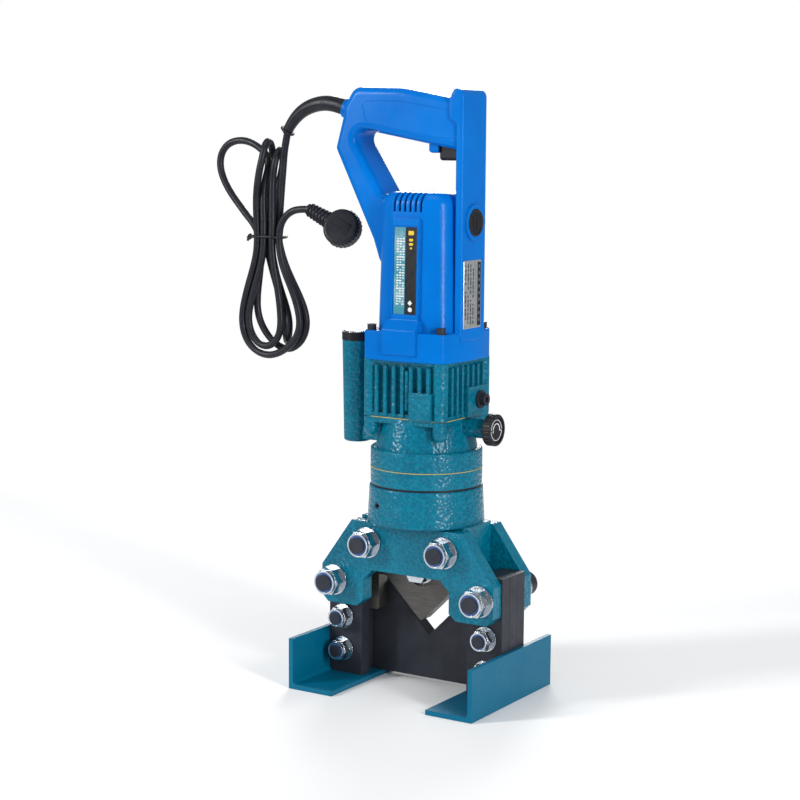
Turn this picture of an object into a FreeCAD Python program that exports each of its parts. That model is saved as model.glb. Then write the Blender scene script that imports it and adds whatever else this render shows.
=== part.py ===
import FreeCAD, Part
import Sketcher
import math
import os
import re
from FreeCAD import Placement, Rotation, Vector

# Portable electro-hydraulic cutter: V-blade head, hydraulic unit, motor unit and mains lead.
# Frame: origin on the floor at the centre of the feet, +X towards the switch spine, -Y the nut side, +Z up.
# All sizes are in millimetres. Outlines are written about the tool axis, and every finished sub-part is
# then moved back by tool_axis_y, because the feet reach further forward than back.

os.makedirs("parts", exist_ok=True)
doc = FreeCAD.newDocument("angle_steel_cutter")

DIMENSIONS = {
    # feet and cutting head
    "tool_axis_y": 8.3, "foot_width": 50, "foot_thick": 4.6, "foot_half": 103, "foot_front": 85.3,
    "foot_long": 153.9,
    "stack_half": 98.3, "stack_top": 122, "plate_thick": 15, "plate_inner": 21.8,
    "blade_play": 0.03, "post_inner": 60, "blade_front": 7.8, "blade_thick": 15.1, "die_front": 7.35,
    "blade_half": 66, "blade_gap": 0.1, "blade_apex": 65, "die_apex": 47.9, "blade_top": 124,
    "blade_leg_inner": 49, "blade_leg_bottom": 70, "blade_slot_top": 106, "blade_tongue": 17,
    "tongue_top": 136, "blade_pin_z": 118, "shear_stroke": 22,
    "plate_top": 164, "plate_top_half": 62.4, "plate_half": 96.9, "plate_shoulder": 116.3, "plate_bottom": 79,
    "window_half": 48.5, "window_top": 116.4, "window_corner": 10,
    # fasteners of the head
    "bolt_large": 8, "bolt_small": 6, "hole_gap": 0.25, "thread_gap": 0.05,
    "upper_bolt_x": 43.2, "upper_bolt_z": 143.7, "side_bolt_x": 82.2, "side_bolt_z": 102,
    "post_bolt_x": 81.2, "post_bolt_high": 62.7, "post_bolt_low": 29.5,
    "large_washer": 15, "small_washer": 12, "washer_thick": 2.5,
    # cylinder and ram
    "head_block_half": 60, "head_block_bottom": 126, "head_notch_half": 24, "head_notch_top": 138,
    "collar_bottom": 165, "collar_top": 201, "collar_low_radius": 57, "collar_high_radius": 55,
    "ring_radius": 54, "seal_thick": 2, "cylinder_top": 218.6, "gasket_thick": 0.8, "ring_top": 238,
    "spigot_radius": 46, "spigot_bottom": 170, "bore_radius": 38, "bore_top": 232,
    "ram_radius": 19, "ram_gap": 0.06, "piston_bottom": 206, "piston_top": 229, "piston_gap": 0.08,
    # pump body, pump housing and their fittings
    "pump_top": 268.6, "pump_body_radius": 47, "pump_gasket": 0.8, "housing_half": 41, "housing_corner": 10,
    "housing_wall": 5, "housing_top": 324, "column_offset": 38.5, "column_radius": 7.2, "rib_reach": 46,
    "rib_thick": 3.2, "rib_pitch": 9.6, "rib_low": 270.6, "rib_high": 319,
    "valve_z": 259.5, "valve_radius": 9.1, "valve_end": 66, "knob_radius": 15.3, "knob_thick": 9,
    "plug_y": 17.5, "plug_z": 285, "tube_x": -80, "tube_bottom": 236, "tube_top": 336,
    "tube_low_radius": 13.4, "tube_high_radius": 15.2, "tube_bore": 10.6,
    # motor, gears and plunger pump
    "gear_module": 0.8, "pinion_teeth": 11, "wheel_teeth": 38, "gear_low": 300, "gear_high": 309,
    "gear_centre": 19.64, "motor_shaft": 4, "shaft_gap": 0.05, "armature_radius": 22, "stator_radius": 33.8,
    "air_gap": 0.6,
    "stator_low": 366, "stator_high": 424, "brush_z": 454, "cap_radius": 13, "cap_ring_radius": 17.5,
    "eccentric": 1.5, "eccentric_radius": 9, "nose_gap": 0.3,
    # motor housing, handle and switch
    "flange_bottom": 324, "flange_top": 351.5, "flange_bow": 187, "flange_middle": 49.5,
    "flange_round": 7,
    "can_x": 43, "can_y": 40, "can_corner": 28, "can_top": 482, "can_top_inset": 3, "can_wall": 3.5,
    "grip_half": 20.2, "grip_fillet": 7, "spine_half": 22.5, "spine_inner": 42, "spine_outer": 50.5,
    "spine_top": 578, "grip_low_z": 483, "gland_x": -84, "gland_z": 557.5, "gland_tilt": 16,
    "trigger_x": 16.4, "trigger_end": 41, "trigger_half": 9, "trigger_bottom": 511.5, "trigger_travel": 6,
    # mains lead
    "cord_radius": 3.6, "plug_radius": 18.5,
}
sheet = doc.addObject("Spreadsheet::Sheet", "Dims")
sheet.Label = "driving dimensions"
for row, (alias, number) in enumerate(DIMENSIONS.items(), start=1):
    sheet.set(f"A{row}", alias)
    sheet.set(f"B{row}", str(number))
    sheet.setAlias(f"B{row}", alias)
doc.recompute()

ALONG = {"Z": Rotation(), "Y": Rotation(Vector(1, 0, 0), -90), "X": Rotation(Vector(0, 1, 0), 90)}
SIDES = (("left", -1), ("right", 1))
sub_parts = []
y_terms = {}


def value(terms):
    """The number that a sum of aliases and plain numbers comes to."""
    total = 0.0
    for sign, name in re.findall(r"([+-]?)\s*([\w.]+)", str(terms)):
        number = float(name) if name[0].isdigit() else sheet.get(name)
        total += -number if sign == "-" else number
    return total


def formula(terms):
    """The same sum as an expression on the spreadsheet."""
    return re.sub(r"([A-Za-z]\w*)", r"Dims.\1", str(terms))


def text(number):
    """A plain number as a term, also when it is below zero."""
    return f"{number:.3f}" if number >= 0 else f"0{number:.3f}"


def signed(side, terms):
    """A sum of terms, with every sign turned over for the left side."""
    if side > 0:
        return str(terms)
    parts = re.findall(r"([+-]?)\s*([\w.]+)", str(terms))
    return "0" + "".join(("+" if sign == "-" else "-") + name for sign, name in parts)


def less(first, second):
    """The first sum less the whole of the second."""
    return str(first) + signed(-1, second)[1:]


def bind(item, prop, terms):
    item.setExpression(prop, formula(terms))


def place(item, x, y, z, along="Z"):
    item.Placement = Placement(Vector(value(x), value(y), value(z)), ALONG[along])
    for axis, terms in zip("xyz", (x, y, z)):
        bind(item, f"Placement.Base.{axis}", terms)
    y_terms[item.Name] = str(y)
    return item


def cylinder(radius, length, x="0", y="0", z="0", along="Z"):
    item = doc.addObject("Part::Cylinder", "round")
    bind(item, "Radius", radius)
    bind(item, "Height", length)
    return place(item, x, y, z, along)


def cone(low_radius, high_radius, length, x="0", y="0", z="0", along="Z"):
    item = doc.addObject("Part::Cone", "cone")
    bind(item, "Radius1", low_radius)
    bind(item, "Radius2", high_radius)
    bind(item, "Height", length)
    return place(item, x, y, z, along)


def box(x_size, y_size, z_size, x, y, z):
    item = doc.addObject("Part::Box", "box")
    for prop, terms in (("Length", x_size), ("Width", y_size), ("Height", z_size)):
        bind(item, prop, terms)
    return place(item, x, y, z)


def hexagon(circumradius, length, x, y, z, along="Z"):
    item = doc.addObject("Part::Prism", "hexagon")
    item.Polygon = 6
    bind(item, "Circumradius", circumradius)
    bind(item, "Height", length)
    return place(item, x, y, z, along)


def fuse(*items):
    item = doc.addObject("Part::MultiFuse", "fuse")
    item.Shapes = list(items)
    return item


def cut(base, *tools):
    item = doc.addObject("Part::Cut", "cut")
    item.Base = base
    item.Tool = tools[0] if len(tools) == 1 else fuse(*tools)
    return item


def group(items):
    item = doc.addObject("Part::Compound", "group")
    item.Links = list(items)
    return item


def ring(outer, inner, length, x="0", y="0", z="0", along="Z"):
    return cut(cylinder(outer, length, x, y, z, along), cylinder(inner, length, x, y, z, along))


def finish(name, item):
    """Name a sub-part and move it from the tool axis to the row's origin."""
    item.Label = name
    own_y = y_terms.get(item.Name, "0")
    base = item.Placement.Base
    item.Placement = Placement(Vector(base.x, value(own_y) + value("tool_axis_y"), base.z), item.Placement.Rotation)
    bind(item, "Placement.Base.y", own_y + "+tool_axis_y")
    sub_parts.append(item)
    return item


def shape_part(name, shape):
    """A sub-part whose shape has no feature of its own: its sizes are read from the sheet."""
    item = doc.addObject("Part::Feature", "shape")
    item.Shape = shape
    return finish(name, item)


# ---- sketches


def polygon(sketch, corners):
    """A closed outline whose corners are bound to the sheet."""
    first = sketch.GeometryCount
    points = [Vector(value(across), value(up), 0) for across, up in corners]
    count = len(points)
    for index in range(count):
        sketch.addGeometry(Part.LineSegment(points[index], points[(index + 1) % count]), False)
    for index, (across, up) in enumerate(corners):
        previous = first + (index - 1) % count
        sketch.addConstraint(Sketcher.Constraint("Coincident", previous, 2, first + index, 1))
        for kind, terms in (("DistanceX", across), ("DistanceY", up)):
            number = sketch.addConstraint(Sketcher.Constraint(kind, -1, 1, first + index, 1, value(terms)))
            sketch.setExpression(f"Constraints[{number}]", formula(terms))


def circle(sketch, radius, across, up):
    """A hole whose radius and centre are bound to the sheet."""
    centre = Vector(value(across), value(up), 0)
    index = sketch.addGeometry(Part.Circle(centre, Vector(0, 0, 1), value(radius)), False)
    for kind, terms in (("DistanceX", across), ("DistanceY", up)):
        number = sketch.addConstraint(Sketcher.Constraint(kind, -1, 1, index, 3, value(terms)))
        sketch.setExpression(f"Constraints[{number}]", formula(terms))
    number = sketch.addConstraint(Sketcher.Constraint("Radius", index, value(radius)))
    sketch.setExpression(f"Constraints[{number}]", formula(radius))


def rounded(corners):
    """Lines and tangent arcs round a closed outline of (across, up, corner radius)."""
    count = len(corners)
    points = [Vector(value(across), value(up), 0) for across, up, radius in corners]
    edges = []
    last_end = None
    first_start = None
    for index, (across, up, radius) in enumerate(corners):
        here = points[index]
        back = (points[index - 1] - here).normalize()
        ahead = (points[(index + 1) % count] - here).normalize()
        half = back.getAngle(ahead) / 2
        reach = value(radius) / math.tan(half)
        start = here + back * reach
        end = here + ahead * reach
        if reach > 0:
            middle = (back + ahead).normalize()
            centre = here + middle * (value(radius) / math.sin(half))
            through = centre - middle * value(radius)
            arc = Part.Arc(start, through, end)
        if last_end is not None:
            edges.append(Part.LineSegment(last_end, start))
        else:
            first_start = start
        if reach > 0:
            edges.append(arc)
        last_end = end
    edges.append(Part.LineSegment(last_end, first_start))
    return edges


def outline(plane, offset, *loops):
    """A sketch of rounded outlines, standing alone, for an extrusion or a loft."""
    turn = {"XY": Rotation(), "XZ": Rotation(Vector(1, 0, 0), 90)}[plane]
    base = Vector(0, 0, value(offset)) if plane == "XY" else Vector(0, value(offset), 0)
    sketch = doc.addObject("Sketcher::SketchObject", "outline")
    for loop in loops:
        sketch.addGeometry(rounded(loop), False)
    sketch.Placement = Placement(base, turn)
    return sketch


def extrude(sketch, direction, length):
    item = doc.addObject("Part::Extrusion", "extrusion")
    item.Base = sketch
    item.DirMode = "Custom"
    item.Dir = Vector(*direction)
    bind(item, "LengthFwd", length)
    item.Solid = True
    return item


def fillet(base, radius, wanted):
    """Round the edges of base that wanted(edge) picks."""
    doc.recompute()
    item = doc.addObject("Part::Fillet", "fillet")
    item.Base = base
    size = value(radius)
    item.Edges = [(number, size, size) for number, edge in enumerate(base.Shape.Edges, start=1) if wanted(edge)]
    return item


def body_sketch(body, role, offset):
    plane = next(item for item in body.Origin.OriginFeatures if item.Role == role)
    sketch = body.newObject("Sketcher::SketchObject", "sketch")
    sketch.AttachmentSupport = [(plane, "")]
    sketch.MapMode = "FlatFace"
    sketch.AttachmentOffset = Placement(Vector(0, 0, value(offset)), Rotation())
    sketch.setExpression("AttachmentOffset.Base.z", formula(offset))
    return sketch


def plate(name, front, thick, corners, holes=(), soften=None):
    """A flat part across Y: an outline in X and Z, padded backwards from its front face at -front."""
    body = doc.addObject("PartDesign::Body", "body")
    sketch = body_sketch(body, "XZ_Plane", front)
    polygon(sketch, corners)
    for radius, across, up in holes:
        circle(sketch, radius, across, up)
    pad = body.newObject("PartDesign::Pad", "pad")
    pad.Profile = sketch
    pad.Reversed = True
    bind(pad, "Length", thick)
    doc.recompute()
    if soften:
        radius, wanted = soften
        softened = body.newObject("PartDesign::Fillet", "softened")
        names = [f"Edge{n}" for n, edge in enumerate(pad.Shape.Edges, start=1) if wanted(edge)]
        softened.Base = (pad, names)
        bind(softened, "Radius", radius)
        body.Tip = softened
    return finish(name, body), body


def across_y(edge):
    """True for an edge that runs straight along Y."""
    return abs(edge.tangentAt(edge.FirstParameter).y) > 0.99


# ---- feet


def make_foot(name, side):
    """An angle-steel foot: one leg flat on the floor under the posts, one up the outside of the stack."""
    outer, inner = signed(side, "foot_half"), signed(side, "foot_half-foot_width")
    wall = signed(side, "foot_half-foot_thick")
    corners = [(outer, "0"), (outer, "foot_width"), (wall, "foot_width"),
               (wall, "foot_thick"), (inner, "foot_thick"), (inner, "0")]
    body = doc.addObject("PartDesign::Body", "body")
    sketch = body_sketch(body, "XZ_Plane", "foot_front")
    polygon(sketch, corners)
    pad = body.newObject("PartDesign::Pad", "pad")
    pad.Profile = sketch
    pad.Reversed = True
    bind(pad, "Length", "foot_long")
    doc.recompute()
    softened = body.newObject("PartDesign::Fillet", "softened")
    corner_x, corner_z = value(wall), value("foot_thick")
    names = []
    for number, edge in enumerate(pad.Shape.Edges, start=1):
        middle = edge.CenterOfMass
        if across_y(edge) and abs(middle.x - corner_x) < 0.1 and abs(middle.z - corner_z) < 0.1:
            names.append(f"Edge{number}")
    softened.Base = (pad, names)
    bind(softened, "Radius", "foot_thick-1")
    doc.recompute()
    holes = body_sketch(body, "XY_Plane", "0")
    for y in FOOT_SCREW_Y:
        circle(holes, "4.2", signed(side, "post_bolt_x"), y)
    pocket = body.newObject("PartDesign::Pocket", "screw_holes")
    pocket.Profile = holes
    pocket.Type = 1
    pocket.Midplane = True
    body.Tip = pocket
    finish(name, body)


def make_foot_screws():
    """Countersunk screws that hold the feet up to the posts: the heads lie flush in the feet."""
    screws = []
    for name, side in SIDES:
        for y in FOOT_SCREW_Y:
            x = signed(side, "post_bolt_x")
            screws.append(cylinder("4", "16", x, y, "0.4"))
    finish("foot_screws", group(screws))


FOOT_SCREW_Y = ("-14.8", "14.6")
for side_name, side in SIDES:
    make_foot(f"{side_name}_foot", side)
make_foot_screws()

# ---- cutting head

LARGE_HOLE = "bolt_large+hole_gap"
SMALL_HOLE = "bolt_small+hole_gap"
LARGE_BOLTS = [(signed(side, x), z) for name, side in SIDES
               for x, z in (("upper_bolt_x", "upper_bolt_z"), ("side_bolt_x", "side_bolt_z"))]
SMALL_BOLTS = [(signed(side, "post_bolt_x"), z) for name, side in SIDES
               for z in ("post_bolt_high", "post_bolt_low")]


def make_cheek(name, front):
    """A cheek plate: a trapezium with shoulders and a window for the blade and the work."""
    half = [("0", "plate_top"), ("plate_top_half", "plate_top"), ("plate_half", "plate_shoulder"),
            ("plate_half", "plate_bottom+7"), ("plate_half-7", "plate_bottom"),
            ("window_half+8", "plate_bottom"), ("window_half", "plate_bottom+6.5"),
            ("window_half", "window_top-window_corner"),
            ("window_half-window_corner", "window_top")]
    right = half[1:]
    left = [(signed(-1, x), z) for x, z in reversed(right)]
    holes = [(LARGE_HOLE, x, z) for x, z in LARGE_BOLTS]
    plate(name, front, "plate_thick", right + left, holes)


def outer_upright(edge):
    """True for the upright edges on the outer side of the stack, which are broken so that its joints show."""
    return abs(edge.tangentAt(edge.FirstParameter).z) > 0.99 and abs(edge.CenterOfMass.x) > value("stack_half") - 0.1


def make_stack():
    """The hardened plates between the cheeks: front guides, blade guides and the V die."""
    stack_holes = [(LARGE_HOLE, x, z) for x, z in LARGE_BOLTS[1::2]]
    stack_holes += [(SMALL_HOLE, x, z) for x, z in SMALL_BOLTS]
    for side_name, side in SIDES:
        outer = signed(side, "stack_half")
        bolts = [hole for hole in stack_holes if value(hole[1]) * side > 0]
        for kind, front, thick, inner in (
                ("front_guide", "plate_inner", "plate_inner-blade_front-blade_play", "post_inner"),
                ("blade_guide", "blade_front+blade_play", "blade_front+blade_play+die_front",
                 "blade_half+blade_gap")):
            near = signed(side, inner)
            corners = [(signed(side, "stack_half-4"), "foot_thick"), (outer, "foot_thick+4"),
                       (outer, "stack_top"), (near, "stack_top"), (near, "foot_thick")]
            plate(f"{side_name}_{kind}", front, thick, corners, bolts, ("0.7", outer_upright))
    arm = "stack_top-die_apex"
    right = [("stack_half-4", "foot_thick"), ("stack_half", "foot_thick+4"), ("stack_half", "stack_top"),
             (arm, "stack_top")]
    left = [(signed(-1, x), z) for x, z in reversed(right)]
    corners = right + [("0", "die_apex")] + left
    plate("die_plate", "-die_front", "plate_inner-die_front", corners, stack_holes, ("0.7", outer_upright))


def make_blade():
    """The moving blade: a 90 degree point between two guide legs, with a tongue bolted to the ram."""
    shoulder = "blade_slot_top-blade_apex"
    half = [("0", "blade_apex"), (shoulder, "blade_slot_top"), ("blade_leg_inner", "blade_slot_top"),
            ("blade_leg_inner", "blade_leg_bottom"), ("blade_half", "blade_leg_bottom"),
            ("blade_half", "blade_top"), ("blade_tongue", "blade_top"), ("blade_tongue", "tongue_top")]
    left = [(signed(-1, x), z) for x, z in reversed(half[1:])]
    body = doc.addObject("PartDesign::Body", "body")
    sketch = body_sketch(body, "XZ_Plane", "blade_front")
    polygon(sketch, half + left)
    circle(sketch, LARGE_HOLE, "0", "blade_pin_z")
    pad = body.newObject("PartDesign::Pad", "pad")
    pad.Profile = sketch
    pad.Reversed = True
    bind(pad, "Length", "blade_thick")
    relief = body_sketch(body, "XZ_Plane", "blade_front")
    circle(relief, "18", "0", "blade_pin_z")
    pocket = body.newObject("PartDesign::Pocket", "nut_relief")
    pocket.Profile = relief
    pocket.Length = 3
    doc.recompute()
    softened = body.newObject("PartDesign::Fillet", "softened")
    names = []
    for number, edge in enumerate(pocket.Shape.Edges, start=1):
        middle = edge.CenterOfMass
        at_point = abs(middle.x) < 0.1 and middle.z < value("blade_apex") + 1
        at_leg = abs(middle.z - value("blade_leg_bottom")) < 0.1
        if across_y(edge) and (at_point or at_leg):
            names.append(f"Edge{number}")
    softened.Base = (pocket, names)
    softened.Radius = 3
    body.Tip = softened
    finish("blade", body)


make_cheek("front_plate", "plate_inner+plate_thick")
make_cheek("rear_plate", "-plate_inner")
make_stack()
make_blade()

# ---- fasteners of the head


def socket_bolt(radius, head_radius, head_long, start, length, x, z, socket):
    """A socket-head bolt along Y: its threaded end at start, its head at the back."""
    shank = cylinder(radius, length, x, start, z, "Y")
    head_y = f"{start}+{length}"
    head = cylinder(head_radius, head_long, x, head_y, z, "Y")
    key = hexagon(socket, head_long, x, f"{head_y}+{value(head_long) * 0.4:.1f}", z, "Y")
    return cut(fuse(shank, head), key)


def lock_nut(radius, circumradius, hex_long, collar_radius, collar_long, seat, x, z):
    """A nylon-insert nut along -Y from its seat: the hexagon, then the round collar that holds the insert."""
    low = f"{seat}-{hex_long}"
    flats = hexagon(circumradius, hex_long, x, low, z, "Y")
    collar = cylinder(collar_radius, collar_long, x, f"{low}-{collar_long}", z, "Y")
    bore = cylinder(f"{radius}+thread_gap", f"{hex_long}+{collar_long}", x, f"{low}-{collar_long}", z, "Y")
    recess = cylinder(f"{collar_radius}-1.6", collar_long, x, f"{low}-{collar_long}", z, "Y")
    return cut(fuse(flats, collar), bore, recess)


def make_head_fasteners():
    cheek_front, cheek_back = "0-plate_inner-plate_thick", "plate_inner+plate_thick"
    washers, inserts = [], []
    bolts, nuts = [], []
    for x, z in LARGE_BOLTS:
        seat = f"{cheek_front}-washer_thick"
        start = f"{seat}-18"
        length = "plate_inner+plate_inner+plate_thick+plate_thick+washer_thick+washer_thick+18"
        bolts.append(socket_bolt("bolt_large", "12", "16", start, length, x, z, "8"))
        nuts.append(lock_nut("bolt_large", "13.86", "12.5", "11.6", "3.8", seat, x, z))
        washers.append(ring("large_washer", LARGE_HOLE, "washer_thick", x, seat, z, "Y"))
        washers.append(ring("large_washer", LARGE_HOLE, "washer_thick", x, cheek_back, z, "Y"))
        inserts.append(ring("9.9", "bolt_large+thread_gap", "3.2", x, f"{seat}-15.7", z, "Y"))
    finish("m16_bolts", group(bolts))
    finish("m16_nuts", group(nuts))
    bolts, nuts = [], []
    for x, z in SMALL_BOLTS:
        seat = "0-plate_inner-washer_thick"
        start = f"{seat}-14"
        length = "plate_inner+plate_inner+washer_thick+washer_thick+14"
        bolts.append(socket_bolt("bolt_small", "9", "12", start, length, x, z, "5.8"))
        nuts.append(lock_nut("bolt_small", "10.7", "9.5", "9", "3", seat, x, z))
        washers.append(ring("small_washer", SMALL_HOLE, "washer_thick", x, seat, z, "Y"))
        washers.append(ring("small_washer", SMALL_HOLE, "washer_thick", x, "plate_inner", z, "Y"))
        inserts.append(ring("7.3", "bolt_small+thread_gap", "2.5", x, f"{seat}-12", z, "Y"))
    finish("m12_bolts", group(bolts))
    finish("m12_nuts", group(nuts))
    finish("bolt_washers", group(washers))
    finish("nut_inserts", group(inserts))


def make_blade_fixing():
    """The bolt through the blade's tongue and the flat of the ram, with its washer and thin nut."""
    seat = "3-blade_front-washer_thick"
    shank = cylinder("bolt_large", "31.5", "0", "0-20.5", "blade_pin_z", "Y")
    head = cylinder("12", "7.6", "0", "11", "blade_pin_z", "Y")
    key = hexagon("6", "4", "0", "14.7", "blade_pin_z", "Y")
    finish("blade_bolt", cut(fuse(shank, head), key))
    nut = cut(hexagon("13.86", "12", "0", f"{seat}-12", "blade_pin_z", "Y"),
              cylinder("bolt_large+thread_gap", "12", "0", f"{seat}-12", "blade_pin_z", "Y"))
    washer = ring("large_washer", LARGE_HOLE, "washer_thick", "0", seat, "blade_pin_z", "Y")
    finish("blade_nut", group([nut, washer]))


make_head_fasteners()
make_blade_fixing()

# ---- hydraulic cylinder, ram and pump body


def make_head_block():
    """The collar that screws onto the cylinder and the block between the cheeks, in one casting."""
    corners = [("0-head_block_half", "collar_bottom+2", "0"), ("0-head_block_half", "head_block_bottom", "2"),
               ("0-head_notch_half", "head_block_bottom", "2"), ("0-head_notch_half", "head_notch_top", "4"),
               ("head_notch_half", "head_notch_top", "4"), ("head_notch_half", "head_block_bottom", "2"),
               ("head_block_half", "head_block_bottom", "2"), ("head_block_half", "collar_bottom+2", "0")]
    block = extrude(outline("XZ", "0-plate_inner", corners), (0, 1, 0), "plate_inner+plate_inner")
    collar = cone("collar_low_radius", "collar_high_radius", "collar_top-collar_bottom", z="collar_bottom")
    collar = fillet(collar, "1.5", lambda edge: edge.Length > 100)
    bore = cylinder("ram_radius+ram_gap", "60", z="collar_bottom-40")
    spigot = cylinder("spigot_radius+0.1", "collar_top-spigot_bottom", z="spigot_bottom")
    screw = cylinder("3", "20", "0-24", "0-collar_low_radius-5", "collar_bottom+19", "Y")
    holes = [cylinder(LARGE_HOLE, "60", x, "0-30", z, "Y") for x, z in LARGE_BOLTS[0::2]]
    finish("head_block", cut(fuse(block, collar), bore, spigot, screw, *holes))
    grub = cylinder("3", "7", "0-24", "0-50.4", "collar_bottom+19", "Y")
    key = hexagon("1.6", "3", "0-24", "0-50.4", "collar_bottom+19", "Y")
    finish("set_screw", cut(grub, key))


def make_cylinder():
    body = cylinder("ring_radius", "cylinder_top-collar_top-seal_thick", z="collar_top+seal_thick")
    spigot = cylinder("spigot_radius", "collar_top+seal_thick-spigot_bottom", z="spigot_bottom")
    bore = cylinder("bore_radius", "cylinder_top-spigot_bottom", z="spigot_bottom")
    finish("cylinder", cut(fuse(body, spigot), bore))
    finish("dust_seal", ring("ring_radius-1", "spigot_radius+0.1", "seal_thick", z="collar_top"))
    finish("cylinder_gasket", ring("ring_radius+0.3", "bore_radius", "gasket_thick", z="cylinder_top"))


def make_ram():
    """The piston and its rod in one piece: the rod's end is milled to a flat that the blade is bolted to."""
    head = cylinder("bore_radius-piston_gap", "piston_top-piston_bottom", z="piston_bottom")
    groove = ring("bore_radius", "bore_radius-4", "5", z="piston_bottom+12")
    rod = cylinder("ram_radius", "piston_bottom-tongue_top+1", z="tongue_top-1")
    flat = cylinder("ram_radius", "tongue_top-104", z="104")
    keep = box("34", "19", "32", "0-17", "blade_thick-blade_front", "104")
    tongue = doc.addObject("Part::Common", "tongue")
    tongue.Base, tongue.Tool = flat, keep
    rest = cut(fuse(head, rod), box("60", "40", "1.05", "0-30", "blade_thick-blade_front-40", "tongue_top-1"))
    hole = cylinder(LARGE_HOLE, "30", "0", "0", "blade_pin_z", "Y")
    counterbore = cylinder("12.1", "12", "0", "11", "blade_pin_z", "Y")
    finish("ram", cut(fuse(rest, tongue), groove, hole, counterbore))
    finish("piston_seal", ring("bore_radius-0.1", "bore_radius-3.95", "4.8", z="piston_bottom+12.1"))


def make_return_spring():
    """A round-wire spring between the collar's floor and the piston."""
    wire, turns, radius = 1.75, 3, 27.0
    low = value("spigot_bottom") + wire
    high = value("piston_bottom") - wire - 0.05
    helix = Part.makeHelix((high - low) / turns, high - low, radius)
    helix.translate(Vector(0, 0, low))
    start = helix.Edges[0].valueAt(helix.Edges[0].FirstParameter)
    tangent = helix.Edges[0].tangentAt(helix.Edges[0].FirstParameter)
    profile = Part.Wire([Part.makeCircle(wire, start, tangent)])
    spring = Part.Wire(helix.Edges).makePipeShell([profile], True, True)
    shape_part("return_spring", spring)


def square(half, radius, low, high):
    """An upright block with a rounded square plan."""
    corners = [(signed(x, half), signed(y, half), radius) for x, y in ((-1, -1), (1, -1), (1, 1), (-1, 1))]
    return extrude(outline("XY", low, corners), (0, 0, 1), less(high, low))


def at_columns():
    return [(signed(x, "column_offset"), signed(y, "column_offset")) for x in (-1, 1) for y in (-1, 1)]


def make_pump_body():
    """The casting over the cylinder: a round foot, lugs under the four screws, the valve boss and the tube neck."""
    foot_low = "cylinder_top+gasket_thick"
    foot = fillet(cylinder("ring_radius", "ring_top-cylinder_top-gasket_thick", z=foot_low), "2",
                  lambda edge: edge.Length > 300 and edge.CenterOfMass.z > value("ring_top") - 1)
    waist = cone("pump_body_radius+2", "pump_body_radius-3", "pump_top-ring_top", z="ring_top")
    top = square("housing_half+3", "housing_corner", "pump_top-5", "pump_top")
    lugs = []
    for x, y in at_columns():
        lugs.append(cylinder("column_radius", "12", x, y, "pump_top-12"))
        ball = doc.addObject("Part::Sphere", "lug_end")
        bind(ball, "Radius", "column_radius")
        lugs.append(place(ball, x, y, "pump_top-12"))
    valve = cylinder("valve_radius", "valve_end-30", x="30", z="valve_z", along="X")
    neck = fuse(cylinder("8", "45", "tube_x+6", "0", "248", "X"), box("40", "16", "10", "0-70", "0-8", "239"))
    bore = cylinder("bore_radius", "bore_top-cylinder_top-gasket_thick", z=foot_low)
    stem = cylinder("4.05", "40", x="valve_end-35", z="valve_z", along="X")
    well = fuse(cylinder("9", "12", "0-gear_centre", "0", "259"),
                cylinder("5.6", "3", "0-gear_centre", "0", "257"))
    screws = [cylinder("2.6", "14", x, y, "pump_top-14") for x, y in at_columns()]
    tube = cone("tube_low_radius", "tube_high_radius", "tube_top-tube_bottom", "tube_x", "0", "tube_bottom")
    finish("pump_body", cut(fuse(foot, waist, top, valve, neck, *lugs), bore, stem, well, tube, *screws))
    gasket_holes = [cylinder("2.8", "2", x, y, "pump_top-0.5") for x, y in at_columns()]
    sheet_top = "pump_top+pump_gasket"
    gasket = square("housing_half+3.4", "housing_corner", "pump_top", sheet_top)
    opening = square("housing_half-housing_wall", "housing_corner-housing_wall", "pump_top", sheet_top)
    finish("pump_gasket", cut(gasket, opening, *gasket_holes))


def make_pump_housing():
    """The ribbed oil housing: a square box with four screw columns, upright ribs and two machined pads."""
    low = "pump_top+pump_gasket"
    walls = square("housing_half", "housing_corner", low, "housing_top")
    top = square("housing_half+3", "housing_corner", "housing_top-3", "housing_top")
    base = square("housing_half+3", "housing_corner", low, f"{low}+4")
    ribs = []
    for number in range(-3, 4):
        across = text(number * value("rib_pitch") - value("rib_thick") / 2)
        for sign in ("0-rib_reach", "0+housing_half-4"):
            span = "rib_reach-housing_half+4"
            ribs.append(rib_block("rib_thick", span, across, sign))
            ribs.append(rib_block(span, "rib_thick", sign, across))
    columns = [cylinder("column_radius", less("housing_top", low), x, y, low) for x, y in at_columns()]
    front_pad = box("24", "10", "26", "9", "0-48", low)
    side_pad = box("10", "38", "29", "38.5", "0-4", low)
    round_rib = cylinder("2.6", "38", "4.6", "0-43", f"{low}+8")
    cavity = square("housing_half-housing_wall", "housing_corner-housing_wall", low, "housing_top")
    screws = [cylinder("2.8", "60", x, y, low) for x, y in at_columns()]
    plug_hole = cylinder("5.1", "30", "25", "plug_y", "plug_z", "X")
    solid = fuse(walls, top, base, front_pad, side_pad, round_rib, *ribs, *columns)
    finish("pump_housing", cut(solid, cavity, plug_hole, *screws))
    washer = ring("8.6", "5.15", "2.6", "48.5", "plug_y", "plug_z", "X")
    finish("oil_plug_washer", washer)
    plug = fuse(cylinder("5", "16", "35.1", "plug_y", "plug_z", "X"),
                cylinder("5.8", "5.4", "51.1", "plug_y", "plug_z", "X"))
    finish("oil_plug", cut(plug, hexagon("3", "4", "52.6", "plug_y", "plug_z", "X")))


def rib_block(x_size, y_size, x, y):
    """One upright rib."""
    return box(x_size, y_size, "rib_high-rib_low", x, y, "rib_low")


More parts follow.
